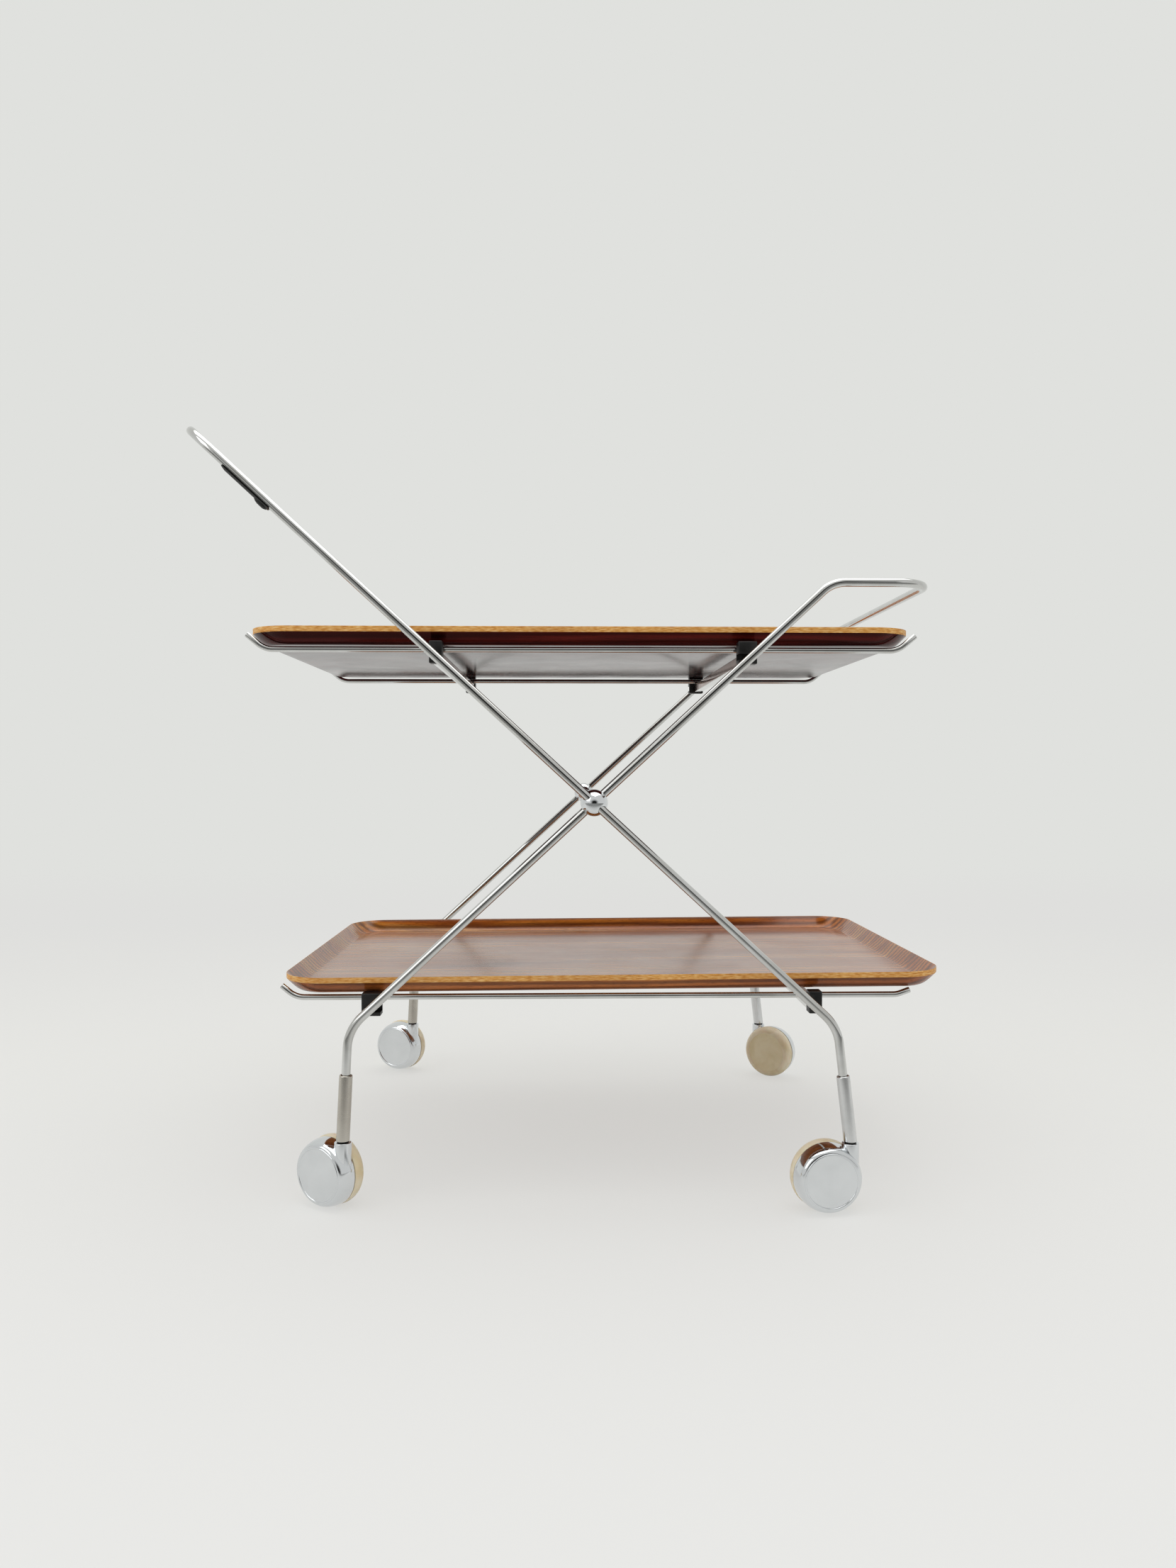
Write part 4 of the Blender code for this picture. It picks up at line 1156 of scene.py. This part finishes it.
def buildClip():
    start = onRod("long", "near", upLeft * clip["startReach"])
    downward = upLeft.cross(alongY)
    turn = Matrix((alongY, downward, upLeft)).transposed().to_4x4()
    outer = rods["radius"] + clip["fit"] + clip["wall"]
    length = clip["length"]
    slope = clip["slope"]
    sides = shapeRules["socketSides"]
    strip = [
        (0, 0),
        (outer, 0),
        (outer, length - slope),
        (outer - clip["wall"] * clip["endThinning"], length),
        (0, length),
    ]
    mesh = spinProfile(strip, Matrix.Translation(start) @ turn, sides)
    piece = toObject(mesh, "handleClip", [blackAcetal])
    radius = clip["bumpRadius"]
    bump = [(radius * share, slope * run) for share, run in clip["bumpRise"]]
    bump += [(radius * share, clip["bumpLength"] - slope * run) for share, run in clip["bumpFall"]]
    place = Matrix.Translation(start + downward * clip["bumpDrop"]) @ turn
    carve(piece, toObject(spinProfile(bump, place, shapeRules["pinSides"]), "bumpTool"), "UNION")
    past = upLeft * slope
    carve(piece, rodTool(start - past, start + upLeft * length + past, rods["radius"] + clip["fit"], sides))
    middle = start + upLeft * length / 2
    half = length / 2 + slope
    beyond = outer + slope
    carve(piece, clipTool((-beyond, -beyond, -half), (0, clip["frontLip"], half), middle, turn))
    carve(piece, clipTool((-beyond, -beyond, -half), (beyond, -clip["rearLip"], half), middle, turn))
    dress(piece, "long_frame", "black_plastic", "handle_clip")


buildClip()
print("handle clip built")


# Floor, backdrop, lights and camera

studio = {
    "floorTones": [(-0.6, "#E8E8E6"), (0.3, "#E5E5E2"), (1.6, "#DFDFDD")],  # where along Y each is reached
    "wallColour": "#E0E1DE",
    "floorShare": 0.7,  # share of flat tone against lit tone, where shadows fall
    "paintRoughness": 0.8,
    "paintSheen": 0.1,
    "wallDistance": 2.1,
    "coveRadius": 0.10,
    "coveSteps": 16,
    "width": 14.0,
    "front": -6.0,
    "wallHeight": 6.0,
    "dimFloor": (-0.98, -0.36),  # toward the viewer the chrome mirrors a darkening floor
    "dimShare": (0.92, 0.0),
    "dimColour": "#0C0C0C",
    "worldColour": "#F2F2F0",
    "worldStrength": 0.80,
    "darkCentre": (0.0, -1.0, 0.08),  # direction of the dark side of the room
    "darkSpread": (0.50, 0.6, 0.40),
    "darkEdge": (0.55, 1.25),
    "darkShare": (0.98, 0.0),
    "darkColour": "#050505",
    "lightsAim": 0.3,
    "topLight": {"place": (0.1, 0.1, 2.5), "size": 2.6, "power": 30},
    "leftLight": {"place": (-2.3, -1.6, 1.9), "size": 1.8, "power": 12},
}


def mixShaders(tree, share, first, second, output):
    mix = addNode(tree, "ShaderNodeMixShader", feeds={0: share, 1: first, 2: second})
    tree.links.new(mix.outputs["Shader"], tree.nodes[output].inputs["Surface"])


def vectorMath(tree, operation, first, second=(0, 0, 0)):
    return addNode(tree, "ShaderNodeVectorMath", {"operation": operation}, {0: first, 1: second}).outputs


def makeSweepPaint():
    # Seamless painted sweep: matt off-white, evenly lit, with the object's shadow kept on the floor
    material, tree, shader = newMaterial("mattPaintedSweep")
    coords = addNode(tree, "ShaderNodeTexCoord").outputs["Object"]
    place = addNode(tree, "ShaderNodeSeparateXYZ", feeds={"Vector": coords}).outputs
    near, middle, far = (y for y, tone in studio["floorTones"])
    stops = [((y - near) / (far - near), tone) for y, tone in studio["floorTones"]]
    floorPaint = shadeAlong(tree, rangeOf(tree, place["Y"], (near, far), (0.0, 1.0)), stops)
    height = rangeOf(tree, place["Z"], (0.0, studio["coveRadius"]), (0.0, 1.0))
    paint = mixColours(tree, height, floorPaint, studio["wallColour"])
    feedNode(tree, shader, {
        "Base Color": paint,
        "Roughness": studio["paintRoughness"],
        "Specular IOR Level": studio["paintSheen"],
    })
    rays = addNode(tree, "ShaderNodeLightPath").outputs
    past = rangeOf(tree, place["Y"], studio["dimFloor"], studio["dimShare"])
    unlit = calculate(tree, "MULTIPLY", past, rays["Is Glossy Ray"])
    mirrored = mixColours(tree, unlit, paint, studio["dimColour"])
    glow = addNode(tree, "ShaderNodeEmission", feeds={"Color": mirrored})
    seen = calculate(tree, "ADD", rays["Is Camera Ray"], rays["Is Glossy Ray"], True)
    clear = calculate(tree, "ADD", seen, rays["Is Transmission Ray"], True)
    away = rangeOf(tree, place["Y"], (middle, far), (studio["floorShare"], 1.0))
    share = calculate(tree, "MULTIPLY", clear, away)
    mixShaders(tree, share, shader.outputs[0], glow.outputs[0], "Material Output")
    return material


def buildBackdrop():
    mesh = bmesh.new()
    half = studio["width"] / 2
    centre = Vector((0, studio["wallDistance"] - studio["coveRadius"], studio["coveRadius"]))
    start = mesh.verts.new((-half, studio["front"], 0))
    corner = mesh.verts.new((-half, centre.y, 0))
    mesh.edges.new((start, corner))
    sweep = bmesh.ops.spin(
        mesh, geom=[corner], cent=centre, axis=(1, 0, 0), dvec=(0, 0, 0), angle=pi / 2,
        steps=studio["coveSteps"], use_duplicate=False,
    )["geom_last"]
    last = vertsOf(sweep)[0]
    top = mesh.verts.new((-half, last.co.y, studio["wallHeight"]))
    mesh.edges.new((last, top))
    extrudeRing(mesh, list(mesh.edges), (studio["width"], 0, 0))
    toObject(mesh, "seamlessSweep", [makeSweepPaint()])


def addAreaLight(name, facts, target):
    light = bpy.data.lights.new(name, "AREA")
    light.shape = "SQUARE"
    light.size = facts["size"]
    light.energy = facts["power"]
    lamp = addObject(name, light)
    lamp.location = facts["place"]
    lamp.rotation_euler = (Vector(target) - lamp.location).to_track_quat("-Z", "Y").to_euler()


def lightScene():
    # A pale room; only what the object mirrors sees it dark behind the camera
    world = bpy.data.worlds.new("paleRoom")
    bpy.context.scene.world = world
    world.use_nodes = True
    tree = world.node_tree
    heading = addNode(tree, "ShaderNodeTexCoord").outputs["Generated"]
    offset = vectorMath(tree, "SUBTRACT", heading, studio["darkCentre"])["Vector"]
    scaled = vectorMath(tree, "DIVIDE", offset, studio["darkSpread"])["Vector"]
    reach = vectorMath(tree, "LENGTH", scaled)["Value"]
    shade = rangeOf(tree, reach, studio["darkEdge"], studio["darkShare"])
    rays = addNode(tree, "ShaderNodeLightPath").outputs
    mirrored = calculate(tree, "MULTIPLY", shade, rays["Is Glossy Ray"])
    room = feedNode(tree, tree.nodes["Background"], {
        "Color": mixColours(tree, mirrored, studio["worldColour"], studio["darkColour"]),
        "Strength": studio["worldStrength"],
    })
    seen = addNode(tree, "ShaderNodeBackground", feeds={"Color": studio["wallColour"]})
    mixShaders(tree, rays["Is Camera Ray"], room.outputs[0], seen.outputs[0], "World Output")
    middle = (pivot.x, pivot.y, studio["lightsAim"])
    addAreaLight("topSoftbox", studio["topLight"], middle)
    addAreaLight("leftSoftbox", studio["leftLight"], middle)


view = {
    "fromPivot": (-0.0291, -1.2103, 0.0296),
    "forward": (0.024, 1.0, -0.013),
    "focalPixels": 1550,
    "longSidePixels": 2212,
    "sensor": 36.0,
    "seenDistances": (0.02, 60),
}


def addCamera():
    camera = bpy.data.cameras.new("photoView")
    camera.sensor_width = view["sensor"]
    camera.lens = view["focalPixels"] * view["sensor"] / view["longSidePixels"]
    camera.clip_start, camera.clip_end = view["seenDistances"]
    holder = addObject("photoView", camera)
    holder.location = pivot + Vector(view["fromPivot"])
    holder.rotation_euler = Vector(view["forward"]).to_track_quat("-Z", "Y").to_euler()
    bpy.context.scene.camera = holder


buildBackdrop()
lightScene()
addCamera()
bpy.context.scene.view_settings.view_transform = "Standard"
print("studio built")
